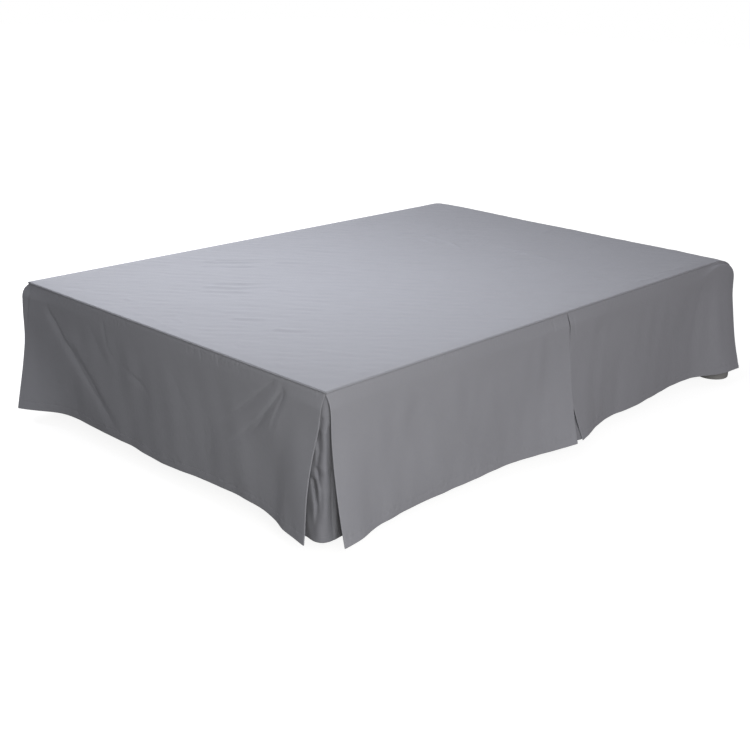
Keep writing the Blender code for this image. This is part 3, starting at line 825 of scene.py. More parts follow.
def deck_relief(along, across):
    """Height of the packing folds above the flat deck."""
    raised = -crease_shift(DECK_CREASES, along, across)
    folded = along * FOLD_ALONG - across * FOLD_ACROSS, along * FOLD_ACROSS + across * FOLD_ALONG
    for wave in DECK_WAVES:
        places = folded if wave.packed else (along, across)
        raised = raised + wave.height * (slow_waves(*places, wave.seed, *wave.lengths) + wave.lift)
    seam = np.minimum(np.minimum(along, across), DECK_WIDTH - across)
    return np.maximum(raised, 0.0) * smooth_step((seam - DECK_FLAT_RIM) / DECK_RIM_FADE)


deck_grid = deck_points()
lip_rows = np.r_[np.full(len(LIP_PLACES), LIP_THICKNESS), LIP_RAMP]
deck_thickness = np.full(deck_grid.shape[:2], CLOTH_THICKNESS)
for depth, value in enumerate(lip_rows):
    deck_thickness[depth, :] = np.minimum(deck_thickness[depth, :], value)
    deck_thickness[:, depth] = np.minimum(deck_thickness[:, depth], value)
    deck_thickness[:, -1 - depth] = np.minimum(deck_thickness[:, -1 - depth], value)
deck, _ = cloth_sheet("skirt_deck", deck_grid, deck_thickness, (0.0, 0.0, 1.0), deck_cloth)
print("deck grid:", deck_grid.shape, "triangles:", triangle_count(deck))

# %% [markdown]
# ## The drops
# A drop is a plain rectangle sewn along its top. Everything else about it comes
# from how it hangs: it stands away from the base where the pleats push it out,
# its free sides swing a little, long creases run from a tight stitch in the
# seam, and the hem wanders. The tables say that for a row of places along each
# drop, and the creases are drawn on top.

# %% Tables of the hang
Fold = namedtuple("Fold", "along shoulder hem_out hem_lift")

FOOT_FOLDS = table(
    Fold,
    (0.00, 0.0090, 0.061, 0.001),
    (0.10, 0.0070, 0.038, 0.0045),
    (0.155, 0.0062, 0.019, 0.0105),
    (0.22, 0.0050, 0.010, 0.0175),
    (0.35, 0.0045, 0.005, 0.018),
    (0.50, 0.0045, 0.005, 0.0135),
    (0.66, 0.0050, 0.011, 0.006),
    (0.82, 0.0045, 0.006, 0.012),
    (1.00, 0.0050, 0.006, 0.011),
    (1.12, 0.0060, 0.007, 0.012),
    (1.20, 0.0070, 0.014, 0.009),
    (1.28, 0.0100, 0.042, 0.001),
    (1.35, 0.0140, 0.073, -0.006),
)

NEAR_FRONT_FOLDS = table(
    Fold,
    (0.00, 0.0110, 0.072, 0.000),
    (0.07, 0.0095, 0.067, 0.000),
    (0.14, 0.0080, 0.046, 0.000),
    (0.21, 0.0070, 0.034, 0.000),
    (0.34, 0.0070, 0.024, 0.000),
    (0.47, 0.0080, 0.029, 0.000),
    (0.60, 0.0080, 0.033, 0.000),
    (0.74, 0.0090, 0.036, 0.000),
    (0.86, 0.0110, 0.056, 0.000),
    (0.95, 0.0120, 0.077, 0.000),
    (1.040, 0.0140, 0.104, 0.000),
)

NEAR_REAR_FOLDS = table(
    Fold,
    (1.040, 0.0140, 0.0984, 0.000),
    (1.10, 0.0120, 0.0796, 0.000),
    (1.20, 0.0100, 0.046, -0.003),
    (1.33, 0.0070, 0.027, -0.003),
    (1.45, 0.0070, 0.032, -0.004),
    (1.62, 0.0070, 0.025, -0.003),
    (1.74, 0.0070, 0.018, 0.000),
    (1.85, 0.0090, 0.024, 0.000),
    (1.92, 0.0120, 0.054, -0.002),
    (2.00, 0.0160, 0.089, -0.006),
    (2.08, 0.0180, 0.098, -0.006),
    (2.13, 0.0160, 0.099, -0.008),
)

FAR_FRONT_FOLDS = table(
    Fold,
    (0.00, 0.0130, 0.068, 0.003),
    (0.09, 0.0090, 0.054, 0.003),
    (0.20, 0.0070, 0.026, 0.003),
    (0.38, 0.0070, 0.018, 0.005),
    (0.56, 0.0070, 0.030, 0.003),
    (0.72, 0.0080, 0.026, 0.003),
    (0.86, 0.0110, 0.050, 0.003),
    (0.95, 0.0120, 0.080, 0.003),
    (1.040, 0.0140, 0.104, 0.003),
)

FAR_REAR_FOLDS = table(
    Fold,
    (1.040, 0.0140, 0.0974, 0.003),
    (1.10, 0.0130, 0.0814, 0.003),
    (1.24, 0.0080, 0.034, 0.003),
    (1.42, 0.0070, 0.022, 0.005),
    (1.60, 0.0070, 0.030, 0.003),
    (1.76, 0.0070, 0.020, 0.003),
    (1.88, 0.0110, 0.036, 0.003),
    (1.98, 0.0160, 0.088, 0.000),
    (2.08, 0.0180, 0.100, -0.003),
    (2.13, 0.0160, 0.101, -0.005),
)

# One row for each depth down a free side: how far it has moved in from its split
Swing = namedtuple("Swing", "depth inset")

FOOT_NEAR_SWING = table(
    Swing,
    (0.0, 0.001), (0.09, 0.012), (0.175, 0.023), (0.28, 0.023), (0.41, 0.013),
)
FOOT_FAR_SWING = table(
    Swing,
    (0.0, 0.0), (0.012, -0.012), (0.03, -0.020), (0.055, -0.019), (0.12, -0.011), (0.18, -0.007),
    (0.25, -0.007), (0.41, 0.006),
)
SIDE_FOOT_SWING = table(
    Swing,
    (0.0, 0.0), (0.03, 0.005), (0.10, 0.009), (0.25, 0.008), (0.41, 0.006),
)
FRONT_SPLIT_SWING = table(
    Swing,
    (0.0, 0.0), (0.012, 0.0018), (0.10, 0.0020), (0.18, 0.003), (0.28, 0.015), (0.33, 0.024),
    (0.41, 0.037),
)
REAR_SPLIT_SWING = table(
    Swing,
    (0.0, 0.0), (0.012, 0.0022), (0.10, 0.0020), (0.18, 0.000), (0.28, -0.010), (0.33, -0.005),
    (0.41, 0.004),
)
HEAD_SWING = table(
    Swing,
    (0.0, 0.005), (0.03, 0.008), (0.10, 0.014), (0.20, 0.022), (0.30, 0.030), (0.41, 0.038),
)
print("rows in the tables:", sum(len(t) for t in (FOOT_FOLDS, NEAR_FRONT_FOLDS, NEAR_REAR_FOLDS)))

# %% Creases drawn on the drops
FOOT_CREASES = table(
    Crease,
    (((1.232, 0.035), (1.214, 0.076), (1.158, 0.140), (1.082, 0.208), (1.014, 0.267), (0.963, 0.319),
      (0.914, 0.360), (0.860, 0.396)), 0.0090, 0.0040, 0.12),
    (((1.140, 0.140), (1.060, 0.215), (0.985, 0.285), (0.925, 0.340), (0.860, 0.405)), 0.0200, 0.0052, 0.10),
    (((0.936, 0.030), (0.934, 0.052), (0.922, 0.112), (0.875, 0.163)), 0.0070, 0.0011, 0.2),
    (((0.850, 0.150), (0.825, 0.160), (0.745, 0.191), (0.700, 0.229)), 0.0080, 0.0012, 0.2),
    (((0.146, 0.010), (0.152, 0.037), (0.196, 0.095), (0.248, 0.157), (0.316, 0.216), (0.401, 0.287)),
     -0.0100, 0.0046, 0.10),
    (((0.170, 0.010), (0.209, 0.039), (0.274, 0.099), (0.343, 0.156), (0.428, 0.206)), -0.0100, 0.0034, 0.15),
    (((0.146, 0.030), (0.146, 0.053), (0.171, 0.115), (0.196, 0.179)), -0.0060, 0.0018, 0.2),
    (((1.312, 0.010), (1.326, 0.088), (1.343, 0.177)), 0.0060, 0.0014, 0.2),
    (((0.535, 0.004), (0.535, 0.020), (0.538, 0.036)), 0.0035, 0.0008, 0.3),
    (((0.509, 0.004), (0.509, 0.018), (0.506, 0.034)), 0.0035, 0.0008, 0.3),
    (((0.479, 0.004), (0.479, 0.020), (0.474, 0.040)), 0.0035, 0.0008, 0.3),
    (((0.403, 0.004), (0.403, 0.022), (0.409, 0.044)), 0.0040, 0.0010, 0.3),
    (((1.02, 0.05), (0.96, 0.14), (0.88, 0.22)), 0.014, 0.0007, 0.2),
    (((0.62, 0.10), (0.57, 0.17), (0.50, 0.24)), 0.016, 0.0006, 0.2),
)
NEAR_FRONT_CREASES = table(
    Crease,
    (((0.93, 0.03), (0.92, 0.16), (0.90, 0.34)), 0.030, 0.0016, 0.3),
    (((0.958, 0.002), (0.961, 0.028), (0.963, 0.058)), 0.0040, 0.0016, 0.2),
    (((0.12, 0.004), (0.24, 0.012), (0.36, 0.010)), 0.0045, 0.0009, 0.3),
    (((0.44, 0.006), (0.52, 0.012), (0.64, 0.009)), 0.0045, 0.0009, 0.3),
    (((0.30, 0.12), (0.42, 0.24), (0.50, 0.38)), 0.050, 0.0014, 0.2),
)
NEAR_REAR_CREASES = table(
    Crease,
    (((1.90, 0.05), (1.87, 0.18), (1.82, 0.36)), 0.030, 0.0018, 0.3),
    (((1.060, 0.004), (1.061, 0.040), (1.063, 0.085)), 0.0040, 0.0014, 0.2),
    (((1.085, 0.003), (1.105, 0.010), (1.135, 0.014)), 0.0035, 0.0009, 0.2),
    (((1.20, 0.06), (1.28, 0.20), (1.36, 0.36)), 0.045, 0.0014, 0.2),
)
FAR_FRONT_CREASES = table(
    Crease,
    (((0.16, 0.03), (0.25, 0.18), (0.36, 0.34)), 0.016, 0.0022, 0.4),
    (((0.80, 0.05), (0.74, 0.20), (0.66, 0.34)), 0.024, 0.0016, 0.3),
)
FAR_REAR_CREASES = table(
    Crease,
    (((1.20, 0.04), (1.28, 0.17), (1.40, 0.32)), 0.020, 0.0018, 0.4),
    (((1.86, 0.05), (1.78, 0.19), (1.72, 0.35)), 0.024, 0.0020, 0.3),
)
print("drawn creases:", len(FOOT_CREASES) + len(NEAR_FRONT_CREASES) + len(NEAR_REAR_CREASES))

# %% [markdown]
# ## Hanging a drop
# One function hangs every drop. It starts inside the seam, comes over the lip,
# rounds the edge of the base and falls. The fall is measured down the cloth, so
# where the cloth stands out it also ends higher, which gives the hem its wave.
# The hem is folded up inside: the cloth is thicker there, and the line of
# stitches pulls a fine groove into the outside.

# %% Drop
PUCKER_REACH = 0.020
PUCKER_HEIGHT = 0.00050
PUCKER_LENGTHS = (0.016, 0.05)
# How strong the puckers are on average, how much that varies, and over what lengths
PUCKER_MEAN, PUCKER_SWING, PUCKER_LIMIT = 0.55, 0.45, 1.6
PUCKER_GROUPS = (0.35, 1.0)
STREAK_HEIGHT = 0.00055
STREAK_LENGTHS = (0.11, 0.55)
BROAD_HEIGHT = 0.0014
BROAD_LENGTHS = (0.42, 0.40)
HEM_PULL_LENGTHS = (0.030, 0.08)
# Broad waves start this far below the seam, over this much of the depth
SETTLE_START = 0.03
SETTLE_RUN = 0.10
HEM_EXTRA = 0.0013
HEM_PULL = 0.00022
HEM_PULL_REACH = 0.012
HEM_STEP = 0.00022
HEM_GROOVE = 0.00035
GROOVE_WIDTH = 0.0022
SIDE_FOLD = 0.030
SIDE_FOLD_EXTRA = 0.0012
# The pressed fold at a pleat starts this far below the seam, and is full after this much more
SIDE_FOLD_START = 0.03
SIDE_FOLD_RUN = 0.08
# A step in thickness is eased over this width, and starts this far above the hem's stitches
STEP_WIDTH = 0.004
STEP_LEAD = 0.002
# Depth over which the cloth turns down at its seam, in finer rows, and reaches its thickness
TURN_DEPTH = 0.0078
TURN_ROWS = 6
THICKEN_DEPTH = 0.005

# sinks tells a drop that goes down with the deck at the head end
Drop = namedtuple(
    "Drop", "name node place folds creases start_swing end_swing mitre_start mitre_end sinks seed"
)


def foot_place(along, out, down):
    """A point of the foot drop, whose table runs across the bed from the near corner."""
    return np.stack([-CENTRE_X - out, along - CENTRE_Y, TOP_HEIGHT - down], axis=-1)


def near_place(along, out, down):
    """A point of a drop on the near long side."""
    return np.stack([along - CENTRE_X, -CENTRE_Y - out, TOP_HEIGHT - down], axis=-1)


def far_place(along, out, down):
    """A point of a drop on the far long side."""
    return np.stack([along - CENTRE_X, CENTRE_Y + out, TOP_HEIGHT - down], axis=-1)


def swing_shift(swing, mitred, out, depth):
    """How far one free side of a drop has moved in, at a depth down the cloth."""
    wander = through_rows(column(swing, "depth"), column(swing, "inset"), depth)
    if not mitred:
        return wander + SPLIT_GAP / 2
    settled = smooth_step(depth / MITRE_FADE)
    inner_corner = MITRE_GAP + CLOTH_THICKNESS - out
    return inner_corner * (1.0 - settled) + (wander + MITRE_GAP) * settled


def drop_relief(drop, along, depth):
    """Small shape of a drop along its normal: puckers, slow waves and the hem."""
    puckers = slow_waves(along, depth, drop.seed, *PUCKER_LENGTHS, 18)
    strength = PUCKER_MEAN + PUCKER_SWING * slow_waves(along, 0.0 * depth, drop.seed + 1, *PUCKER_GROUPS, 6)
    near_seam = np.exp(-depth / PUCKER_REACH) * smooth_step(depth / STEP_WIDTH)
    moved = PUCKER_HEIGHT * puckers * np.clip(strength, 0.0, PUCKER_LIMIT) * near_seam
    streaks = slow_waves(along, depth, drop.seed + 2, *STREAK_LENGTHS)
    broad = slow_waves(along, depth, drop.seed + 3, *BROAD_LENGTHS)
    settled = smooth_step((depth - SETTLE_START) / SETTLE_RUN)
    moved = moved + settled * (STREAK_HEIGHT * streaks + BROAD_HEIGHT * broad)
    from_hem = DROP_LENGTH - depth
    hem_pull = slow_waves(along, depth, drop.seed + 4, *HEM_PULL_LENGTHS, 18)
    in_hem = np.exp(-((from_hem - HEM_DEPTH) / HEM_PULL_REACH) ** 2)
    groove = np.exp(-((from_hem - HEM_DEPTH) / GROOVE_WIDTH) ** 2)
    band = smooth_step((HEM_DEPTH - from_hem) / STEP_WIDTH)
    return moved + HEM_PULL * hem_pull * in_hem - HEM_GROOVE * groove + HEM_STEP * band


def drop_grid(drop):
    """Grid of outer points of a drop, with the place and depth of each."""
    start, end = drop.folds[0].along, drop.folds[-1].along
    places = odd_places(start, end, DROP_PITCH)
    turn_in = np.linspace(0.0, TURN_DEPTH, TURN_ROWS + 1)[:-1]
    fall = np.linspace(TURN_DEPTH, DROP_LENGTH, round((DROP_LENGTH - TURN_DEPTH) / DROP_PITCH) + 1)
    if (len(LIP_PLACES) + len(turn_in) + len(fall)) % 2 == 0:
        fall = np.linspace(TURN_DEPTH, DROP_LENGTH, len(fall) + 1)
    share = np.r_[LIP_PLACES, np.zeros(len(turn_in) + len(fall))][:, None]
    depth = np.r_[np.zeros(len(LIP_PLACES)), turn_in, fall][:, None]
    along = places[None, :] + 0.0 * depth
    depth = depth + 0.0 * along
    roll = seam_roll(along) if drop.sinks else np.full(along.shape, SEAM_ROLL)

    top_angle = SEAM_ANGLE + SEAM_LIP / roll
    roll_length = roll * (math.pi / 2 - top_angle)
    arc_out, arc_down = arc_point(roll, top_angle + np.minimum(depth, roll_length) / roll)
    lip_out, lip_down = lip_point(roll, top_angle, share, -1.0)
    fold_places = column(drop.folds, "along")
    shoulder = through_rows(fold_places, column(drop.folds, "shoulder"), along)
    hem_out = through_rows(fold_places, column(drop.folds, "hem_out"), along)
    lift = through_rows(fold_places, column(drop.folds, "hem_lift"), along)
    hung = np.maximum(depth - roll_length, 0.0)
    fallen = hung / (DROP_LENGTH - roll_length)
    to_head = smooth_step((along - HEAD_ROLL_START + HEAD_ROLL) / HEAD_ROLL) if drop.sinks else 0.0
    shoulder_depth = SHOULDER_DEPTH + (HEAD_SHOULDER_DEPTH - SHOULDER_DEPTH) * to_head
    out = FACE_STANDOFF + (shoulder - FACE_STANDOFF) * smooth_step(hung / (shoulder_depth - roll_length))
    flaring = smooth_step((along - HEAD_FLARE_START) / HEAD_FLARE_RUN)
    power = FLARE_POWER + (HEAD_FLARE_POWER - FLARE_POWER) * flaring
    out = out + np.maximum(hem_out - shoulder, 0.0) * fallen**power
    out = out - SEAM_TUCK * np.exp(-(((depth - SEAM_TUCK_DEPTH) / SEAM_TUCK_WIDTH) ** 2))
    down = roll + np.sqrt(np.maximum(hung**2 - (out - FACE_STANDOFF) ** 2, 0.0)) - lift * fallen
    relief = drop_relief(drop, along, depth) + crease_shift(drop.creases, along, depth)
    out = np.maximum(out + relief, FACE_STANDOFF - SEAM_TUCK)
    out = np.where(share < 0.0, lip_out, np.where(depth < roll_length, arc_out, out))
    down = np.where(share < 0.0, lip_down, np.where(depth < roll_length, arc_down, down))

    near_start = np.exp(-(((along - start) / EDGE_REACH) ** 2))
    near_end = np.exp(-(((end - along) / EDGE_REACH) ** 2))
    moved = along + swing_shift(drop.start_swing, drop.mitre_start, out, depth) * near_start
    moved = moved - swing_shift(drop.end_swing, drop.mitre_end, out, depth) * near_end
    if drop.sinks:
        down = down + head_fall(along) * (1.0 - depth / DROP_LENGTH)
    return drop.place(moved, out, down), along, depth, share


def drop_thickness(drop, along, depth, share):
    """Thin at the lip, and thicker in the hem and in the pressed folds at pleats."""
    base = LIP_THICKNESS + (CLOTH_THICKNESS - LIP_THICKNESS) * smooth_step(depth / THICKEN_DEPTH)
    hem = HEM_EXTRA * smooth_step((HEM_DEPTH + STEP_LEAD - (DROP_LENGTH - depth)) / STEP_WIDTH)
    start, end = drop.folds[0].along, drop.folds[-1].along
    at_start = smooth_step((SIDE_FOLD - (along - start)) / STEP_WIDTH)
    at_end = smooth_step((SIDE_FOLD - (end - along)) / STEP_WIDTH)
    pressed = smooth_step((depth - SIDE_FOLD_START) / SIDE_FOLD_RUN)
    fold = SIDE_FOLD_EXTRA * np.maximum(at_start, at_end) * pressed
    return np.where(share < 0.0, LIP_THICKNESS, base + np.maximum(hem, fold))


DROPS = (
    Drop("skirt_foot_drop", "foot_drop", foot_place, FOOT_FOLDS, FOOT_CREASES,
         FOOT_NEAR_SWING, FOOT_FAR_SWING, True, True, False, 31),
    Drop("skirt_near_front_drop", "near_drop_front", near_place, NEAR_FRONT_FOLDS, NEAR_FRONT_CREASES,
         SIDE_FOOT_SWING, FRONT_SPLIT_SWING, True, False, False, 41),
    Drop("skirt_near_rear_drop", "near_drop_rear", near_place, NEAR_REAR_FOLDS, NEAR_REAR_CREASES,
         REAR_SPLIT_SWING, HEAD_SWING, False, False, True, 51),
    Drop("skirt_far_front_drop", "far_drop_front", far_place, FAR_FRONT_FOLDS, FAR_FRONT_CREASES,
         SIDE_FOOT_SWING, FRONT_SPLIT_SWING, True, False, False, 61),
    Drop("skirt_far_rear_drop", "far_drop_rear", far_place, FAR_REAR_FOLDS, FAR_REAR_CREASES,
         REAR_SPLIT_SWING, HEAD_SWING, False, False, True, 71),
)
OUTWARD = {foot_place: (-1.0, 0.0, 0.0), near_place: (0.0, -1.0, 0.0), far_place: (0.0, 1.0, 0.0)}

hung_drops = []
hem_lines = []
for drop in DROPS:
    points, along, depth, share = drop_grid(drop)
    thickness = drop_thickness(drop, along, depth, share)
    piece, normal = cloth_sheet(drop.name, points, thickness, OUTWARD[drop.place], drop_cloth)
    hung_drops.append((drop, piece))
    row = int(np.argmin(np.abs(depth[:, 0] - (DROP_LENGTH - HEM_DEPTH))))
    hem_lines.append((drop.name, points[row, 1:-1] + STITCH_LIFT * normal[row, 1:-1]))
    print(drop.name, points.shape[:2], "triangles:", triangle_count(piece))

# %% [markdown]
# ## The underlays
# Behind each split hangs a narrow strip of the same cloth, so that the split
# never shows the base. At the foot corners it bends round the corner. It was
# folded small in its packet and nobody smooths it, so it is the most crumpled
# cloth of all.

# %% Underlays
Lean = namedtuple("Lean", "across shoulder hem_out")
UNDERLAY_HALF_WIDTH = 0.115
UNDERLAY_TOP = 0.013
CORNER_LENGTH = 0.391
SIDE_LENGTH = 0.395
UNDERLAY_STANDOFF = 0.0008
UNDERLAY_HEM = 0.016
UNDERLAY_HEM_EXTRA = 0.0010
UNDERLAY_GROOVE = 0.0003
RUMPLE_HEIGHT = 0.0007
RUMPLE_LENGTHS = (0.045, 0.12)
RUMPLE_START = 0.02
CORNER_RADIUS = 0.012

CORNER_LEANS = table(
    Lean,
    (-0.115, 0.0010, 0.008),
    (-0.060, 0.0020, 0.022),
    (0.000, 0.0040, 0.027),
    (0.060, 0.0020, 0.020),
    (0.115, 0.0010, 0.008),
)
SIDE_LEANS = table(
    Lean,
    (-0.115, 0.0020, 0.034),
    (-0.050, 0.0050, 0.070),
    (0.000, 0.0070, 0.0920),
    (0.050, 0.0050, 0.070),
    (0.115, 0.0020, 0.034),
)
CORNER_CRUMPLES = table(
    Crease,
    (((-0.030, 0.09), (-0.018, 0.15), (-0.026, 0.22)), 0.008, 0.0070, 0.5),
    (((-0.026, 0.19), (-0.008, 0.25), (-0.004, 0.33)), 0.008, 0.0090, 0.5),
    (((-0.040, 0.22), (-0.020, 0.30), (-0.024, 0.37)), 0.008, 0.0090, 0.4),
    (((-0.010, 0.05), (-0.018, 0.11), (-0.012, 0.17)), 0.006, 0.0040, 0.3),
    (((0.020, 0.07), (0.018, 0.16), (0.024, 0.26), (0.030, 0.45)), -0.0100, 0.0130, 0.1),
)
SIDE_CRUMPLES = table(
    Crease,
    (((-0.010, 0.12), (0.006, 0.22), (-0.004, 0.33)), 0.0100, 0.0030, 0.4),
    (((-0.030, 0.22), (-0.012, 0.30), (-0.016, 0.39)), 0.006, 0.0040, 0.3),
    (((-0.052, 0.26), (-0.034, 0.32), (-0.040, 0.39)), 0.006, 0.0036, 0.3),
    (((0.006, 0.24), (-0.004, 0.32), (0.004, 0.39)), 0.006, 0.0030, 0.3),
)


def corner_place(across, out, down, side):
    """Points of a strip that turns round a foot corner, side being -1 near or 1 far."""
    radius = CORNER_RADIUS + out
    quarter = radius * math.pi / 4
    angle = math.pi / 4 + np.clip(across, -quarter, quarter) / radius
    past_foot = np.minimum(across + quarter, 0.0)
    past_side = np.maximum(across - quarter, 0.0)
    x = CORNER_RADIUS - CENTRE_X - radius * np.cos(angle) + past_side
    y = CENTRE_Y - CORNER_RADIUS + radius * np.sin(angle) + past_foot
    return np.stack([x, side * y, TOP_HEIGHT - down], axis=-1)


def underlay_grid(strip):
    """Grid of outer points of an underlay."""
    across = odd_places(-UNDERLAY_HALF_WIDTH, UNDERLAY_HALF_WIDTH, UNDERLAY_PITCH)[None, :]
    depth = odd_places(0.0, strip.length, UNDERLAY_PITCH)[:, None]
    across, depth = across + 0.0 * depth, depth + 0.0 * across
    rows = column(strip.leans, "across")
    shoulder = through_rows(rows, column(strip.leans, "shoulder"), across)
    hem_out = through_rows(rows, column(strip.leans, "hem_out"), across)
    out = UNDERLAY_STANDOFF + (shoulder - UNDERLAY_STANDOFF) * smooth_step(depth / SHOULDER_DEPTH)
    out = out + (hem_out - shoulder) * (depth / strip.length) ** FLARE_POWER
    down = UNDERLAY_TOP + np.sqrt(np.maximum(depth**2 - (out - UNDERLAY_STANDOFF) ** 2, 0.0))
    settled = smooth_step((depth - RUMPLE_START) / SETTLE_RUN)
    rumple = RUMPLE_HEIGHT * slow_waves(across, depth, strip.seed, *RUMPLE_LENGTHS) * settled
    groove = np.exp(-((strip.length - depth - UNDERLAY_HEM) / GROOVE_WIDTH) ** 2)
    relief = out + rumple + crease_shift(strip.crumples, across, depth) - UNDERLAY_GROOVE * groove
    return strip.place(across, np.maximum(relief, UNDERLAY_STANDOFF), down), depth


def corner_strip(side):
    """The placing of a strip at one foot corner, side being -1 near or 1 far."""
    return lambda across, out, down: corner_place(across, out, down, side)


def side_strip(side_place):
    """The placing of a strip behind the split of one long side."""
    return lambda across, out, down: side_place(SIDE_SPLIT + across, out, down)


Underlay = namedtuple("Underlay", "node place outward seed length leans crumples")
CORNER_CUT = (CORNER_LENGTH, CORNER_LEANS, CORNER_CRUMPLES)
SIDE_CUT = (SIDE_LENGTH, SIDE_LEANS, SIDE_CRUMPLES)
UNDERLAYS = (
    Underlay("near_corner_underlay", corner_strip(-1.0), (-1.0, -1.0, 0.0), 81, *CORNER_CUT),
    Underlay("far_corner_underlay", corner_strip(1.0), (-1.0, 1.0, 0.0), 82, *CORNER_CUT),
    Underlay("near_side_underlay", side_strip(near_place), (0.0, -1.0, 0.0), 83, *SIDE_CUT),
    Underlay("far_side_underlay", side_strip(far_place), (0.0, 1.0, 0.0), 84, *SIDE_CUT),
)

hung_underlays = []
for strip in UNDERLAYS:
    name = "skirt_" + strip.node
    points, depth = underlay_grid(strip)
    in_hem = smooth_step((UNDERLAY_HEM + STEP_LEAD - (strip.length - depth)) / STEP_WIDTH)
    hem = UNDERLAY_HEM_EXTRA * in_hem
    # Each underlay wears the darker copy of the cloth: painted shade for the shade behind the drops
    piece, normal = cloth_sheet(name, points, UNDERLAY_THICKNESS + hem, strip.outward, underlay_painted_shade_cloth)
    hung_underlays.append((strip.node, piece, (2.0 * UNDERLAY_HALF_WIDTH, strip.length)))
    row = int(np.argmin(np.abs(depth[:, 0] - (strip.length - UNDERLAY_HEM))))
    hem_lines.append((name, points[row, 1:-1] + STITCH_LIFT * normal[row, 1:-1]))
    print(name, points.shape[:2], "triangles:", triangle_count(piece))

# %% [markdown]
# ## Hem stitches
# A lockstitch hem repeats one small spindle of thread along a line, which is
# just what Geometry Nodes are for. The tree takes the line as a chain of edges,
# resamples it at the stitch pitch, puts one spindle on each point, turned along
# the line, and makes the result real. A fixed seed varies their lengths a touch.

# %% Stitch tree
STITCH_PITCH = 0.0034
STITCH_LENGTH = 0.0027
THREAD_RADIUS = 0.00026
STITCH_SPREAD = (0.90, 1.06)
FIRST_SEED = 5
# The head hem is sewn this far below the deck, and ends this many points from its corners
HEAD_HEM_FALL = 0.045
HEAD_HEM_ENDS = 16


def stitch_tree():
    """Geometry Nodes that sew spindles of thread along a chain of edges."""
    tree = bpy.data.node_groups.new("hem_stitches", "GeometryNodeTree")
    sockets = {}
    tree.interface.new_socket("Geometry", in_out="INPUT", socket_type="NodeSocketGeometry")
    for title, kind, value in (
        ("Pitch", "NodeSocketFloat", STITCH_PITCH),
        ("Stitch Length", "NodeSocketFloat", STITCH_LENGTH),
        ("Thread Radius", "NodeSocketFloat", THREAD_RADIUS),
        ("Seed", "NodeSocketInt", FIRST_SEED),
        ("Thread", "NodeSocketMaterial", None),
    ):
        socket = tree.interface.new_socket(title, in_out="INPUT", socket_type=kind)
        if value is not None:
            socket.default_value = value
        sockets[title] = socket.identifier
    tree.interface.new_socket("Geometry", in_out="OUTPUT", socket_type="NodeSocketGeometry")
    given = add_node(tree, "NodeGroupInput").outputs
    curve = add_node(tree, "GeometryNodeMeshToCurve", {"Mesh": given["Geometry"]}).outputs["Curve"]
    feeds = {"Curve": curve, "Length": given["Pitch"]}
    even = add_node(tree, "GeometryNodeResampleCurve", feeds, mode="LENGTH").outputs["Curve"]
    ball = add_node(tree, "GeometryNodeMeshUVSphere", {"Segments": 6, "Rings": 4, "Radius": 1.0})
    half = maths(tree, "MULTIPLY", given["Stitch Length"], 0.5)
    feeds = {"X": half, "Y": given["Thread Radius"], "Z": given["Thread Radius"]}
    size = add_node(tree, "ShaderNodeCombineXYZ", feeds)
    feeds = {"Geometry": ball.outputs["Mesh"], "Scale": size.outputs["Vector"]}
    spindle = add_node(tree, "GeometryNodeTransform", feeds)
    tangent = add_node(tree, "GeometryNodeInputTangent")
    feeds = {"Vector": tangent.outputs["Tangent"]}
    aim = add_node(tree, "FunctionNodeAlignRotationToVector", feeds, axis="X")
    feeds = {2: STITCH_SPREAD[0], 3: STITCH_SPREAD[1], "Seed": given["Seed"]}
    vary = add_node(tree, "FunctionNodeRandomValue", feeds, data_type="FLOAT")
    feeds = {
        "Points": even,
        "Instance": spindle.outputs["Geometry"],
        "Rotation": aim.outputs["Rotation"],
        "Scale": vary.outputs[1],
    }
    sewn = add_node(tree, "GeometryNodeInstanceOnPoints", feeds).outputs["Instances"]
    for step in ("RealizeInstances", "SetShadeSmooth", "SetMaterial"):
        finish = add_node(tree, "GeometryNode" + step, {"Geometry": sewn})
        sewn = finish.outputs["Geometry"]
    tree.links.new(given["Thread"], finish.inputs["Material"])
    add_node(tree, "NodeGroupOutput", {"Geometry": sewn})
    return tree, sockets


def sew_line(tree, sockets, name, line, seed):
    """Stitches along one line of points, as a plain mesh."""
    path = bpy.data.meshes.new(name + "_line")
    path.from_pydata(line.tolist(), [(index, index + 1) for index in range(len(line) - 1)], [])
    holder = in_view(name + "_line", path)
    modifier = holder.modifiers.new("stitches", "NODES")
    modifier.node_group = tree
    modifier[sockets["Pitch"]] = STITCH_PITCH
    modifier[sockets["Stitch Length"]] = STITCH_LENGTH
    modifier[sockets["Thread Radius"]] = THREAD_RADIUS
    modifier[sockets["Seed"]] = seed
    modifier[sockets["Thread"]] = thread
    graph = bpy.context.evaluated_depsgraph_get()
    mesh = bpy.data.meshes.new_from_object(holder.evaluated_get(graph))
    mesh.name = name
    bpy.data.objects.remove(holder, do_unlink=True)
    return in_view(name, mesh)


middle_heights = deck_grid[:, deck_grid.shape[1] // 2, 2]
head_hem_row = int(np.argmin(np.abs(middle_heights - (TOP_HEIGHT - HEAD_HEM_FALL))))
head_hem = deck_grid[head_hem_row, HEAD_HEM_ENDS:-HEAD_HEM_ENDS] + np.array([STITCH_LIFT, 0.0, 0.0])
hem_lines.append(("skirt_deck", head_hem))
stitch_nodes, stitch_sockets = stitch_tree()
stitches = {}
for index, (name, line) in enumerate(hem_lines):
    stitches[name] = sew_line(stitch_nodes, stitch_sockets, name + "_stitches", line, FIRST_SEED + index)
print("stitch triangles:", sum(triangle_count(piece) for piece in stitches.values()))

# %% [markdown]
# ## The bed base and its feet
# The base is there only to hold the cloth up, so it stays the plain block of the
# frame, under a woven cover. Its feet are turned from one half outline each: a
# short cylinder with an eased rim and a shallow groove where it meets the base.

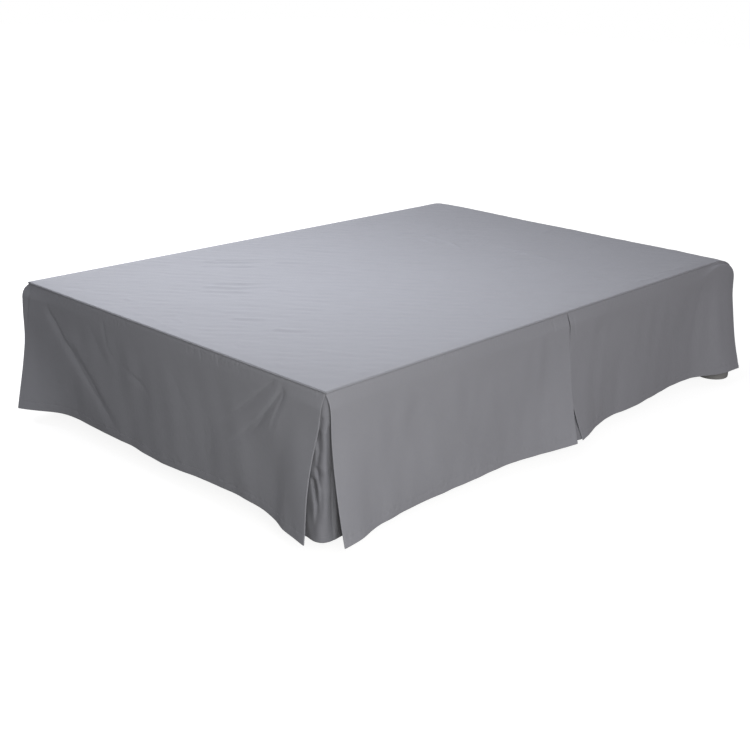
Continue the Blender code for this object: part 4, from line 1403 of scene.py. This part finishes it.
# %% Base and feet
FOOT_NODES = ["bed_foot_%s_end_%s" % (end, side) for end in ("foot", "head") for side in ("near", "far")]
FOOT_STEPS = 96
FOOT_RIM = 0.004
FOOT_RIM_STEPS = 6
FOOT_EDGE = 0.002
# Distances below the top of a foot where its groove starts, is deep, ends to be deep and ends
GROOVE_FALLS = (0.018, 0.0168, 0.0132, 0.012)
FOOT_GROOVE = 0.0012
FOOT_SHARP_ANGLE = math.radians(35)


def foot_outline(radius, height):
    """Half outline of a foot from the middle of its underside to the middle of its top."""
    rim = FOOT_RIM
    points = [(0.0, 0.0), (radius - rim, 0.0)]
    for step in range(1, FOOT_RIM_STEPS + 1):
        angle = math.pi / 2 * step / FOOT_RIM_STEPS
        points.append((radius - rim + rim * math.sin(angle), rim - rim * math.cos(angle)))
    depths = (0.0, FOOT_GROOVE, FOOT_GROOVE, 0.0)
    points += [(radius - depth, height - fall) for depth, fall in zip(depths, GROOVE_FALLS)]
    return points + [(radius, height - FOOT_EDGE), (radius - FOOT_EDGE, height), (0.0, height)]


def turn_foot(name, centre, radius, height):
    """A solid turned from its half outline, standing at its centre."""
    outline = foot_outline(radius, height)
    angles = np.arange(FOOT_STEPS) * 2.0 * math.pi / FOOT_STEPS
    x, y = centre
    vertices = [(x, y, 0.0), (x, y, height)]
    for reach, up in outline[1:-1]:
        vertices += [(x + reach * math.cos(a), y + reach * math.sin(a), up) for a in angles]
    rings = len(outline) - 2
    faces = []
    for step in range(FOOT_STEPS):
        ahead = (step + 1) % FOOT_STEPS
        faces.append((0, 2 + ahead, 2 + step))
        top = 2 + (rings - 1) * FOOT_STEPS
        faces.append((1, top + step, top + ahead))
        for ring in range(rings - 1):
            low, high = 2 + ring * FOOT_STEPS, 2 + (ring + 1) * FOOT_STEPS
            faces.append((low + step, low + ahead, high + ahead, high + step))
    mesh = bpy.data.meshes.new(name)
    mesh.from_pydata(vertices, [], faces)
    mesh.materials.append(foot_plastic)
    mesh.shade_smooth()
    mesh.set_sharp_from_angle(angle=FOOT_SHARP_ANGLE)
    return in_view(name, mesh)


feet = []
for node in FOOT_NODES:
    low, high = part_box(node)
    middle = ((low.x + high.x) / 2, (low.y + high.y) / 2)
    feet.append((node, turn_foot("turned_" + node, middle, (high.x - low.x) / 2, high.z)))
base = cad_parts["bed_base"]
base.data.materials.clear()
base.data.materials.append(base_cover)
print("feet:", len(feet), "triangles each:", triangle_count(feet[0][1]))

# %% [markdown]
# ## Hand the pieces over
# Every piece rides on the one body and stands for the plain solid that it
# replaces.


def hand_over(piece, node):
    """A cloth piece and its stitches ride on the root and take over from their node."""
    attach(piece, "root")
    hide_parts(node)
    sewn = stitches[piece.name]
    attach(sewn, "root")
    return sewn


sewn = hand_over(deck, "deck")
for drop, piece in hung_drops:
    sewn = hand_over(piece, drop.node)
for node, piece, flat in hung_underlays:
    sewn = hand_over(piece, node)
for node, piece in feet:
    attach(piece, "root")
    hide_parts(node)
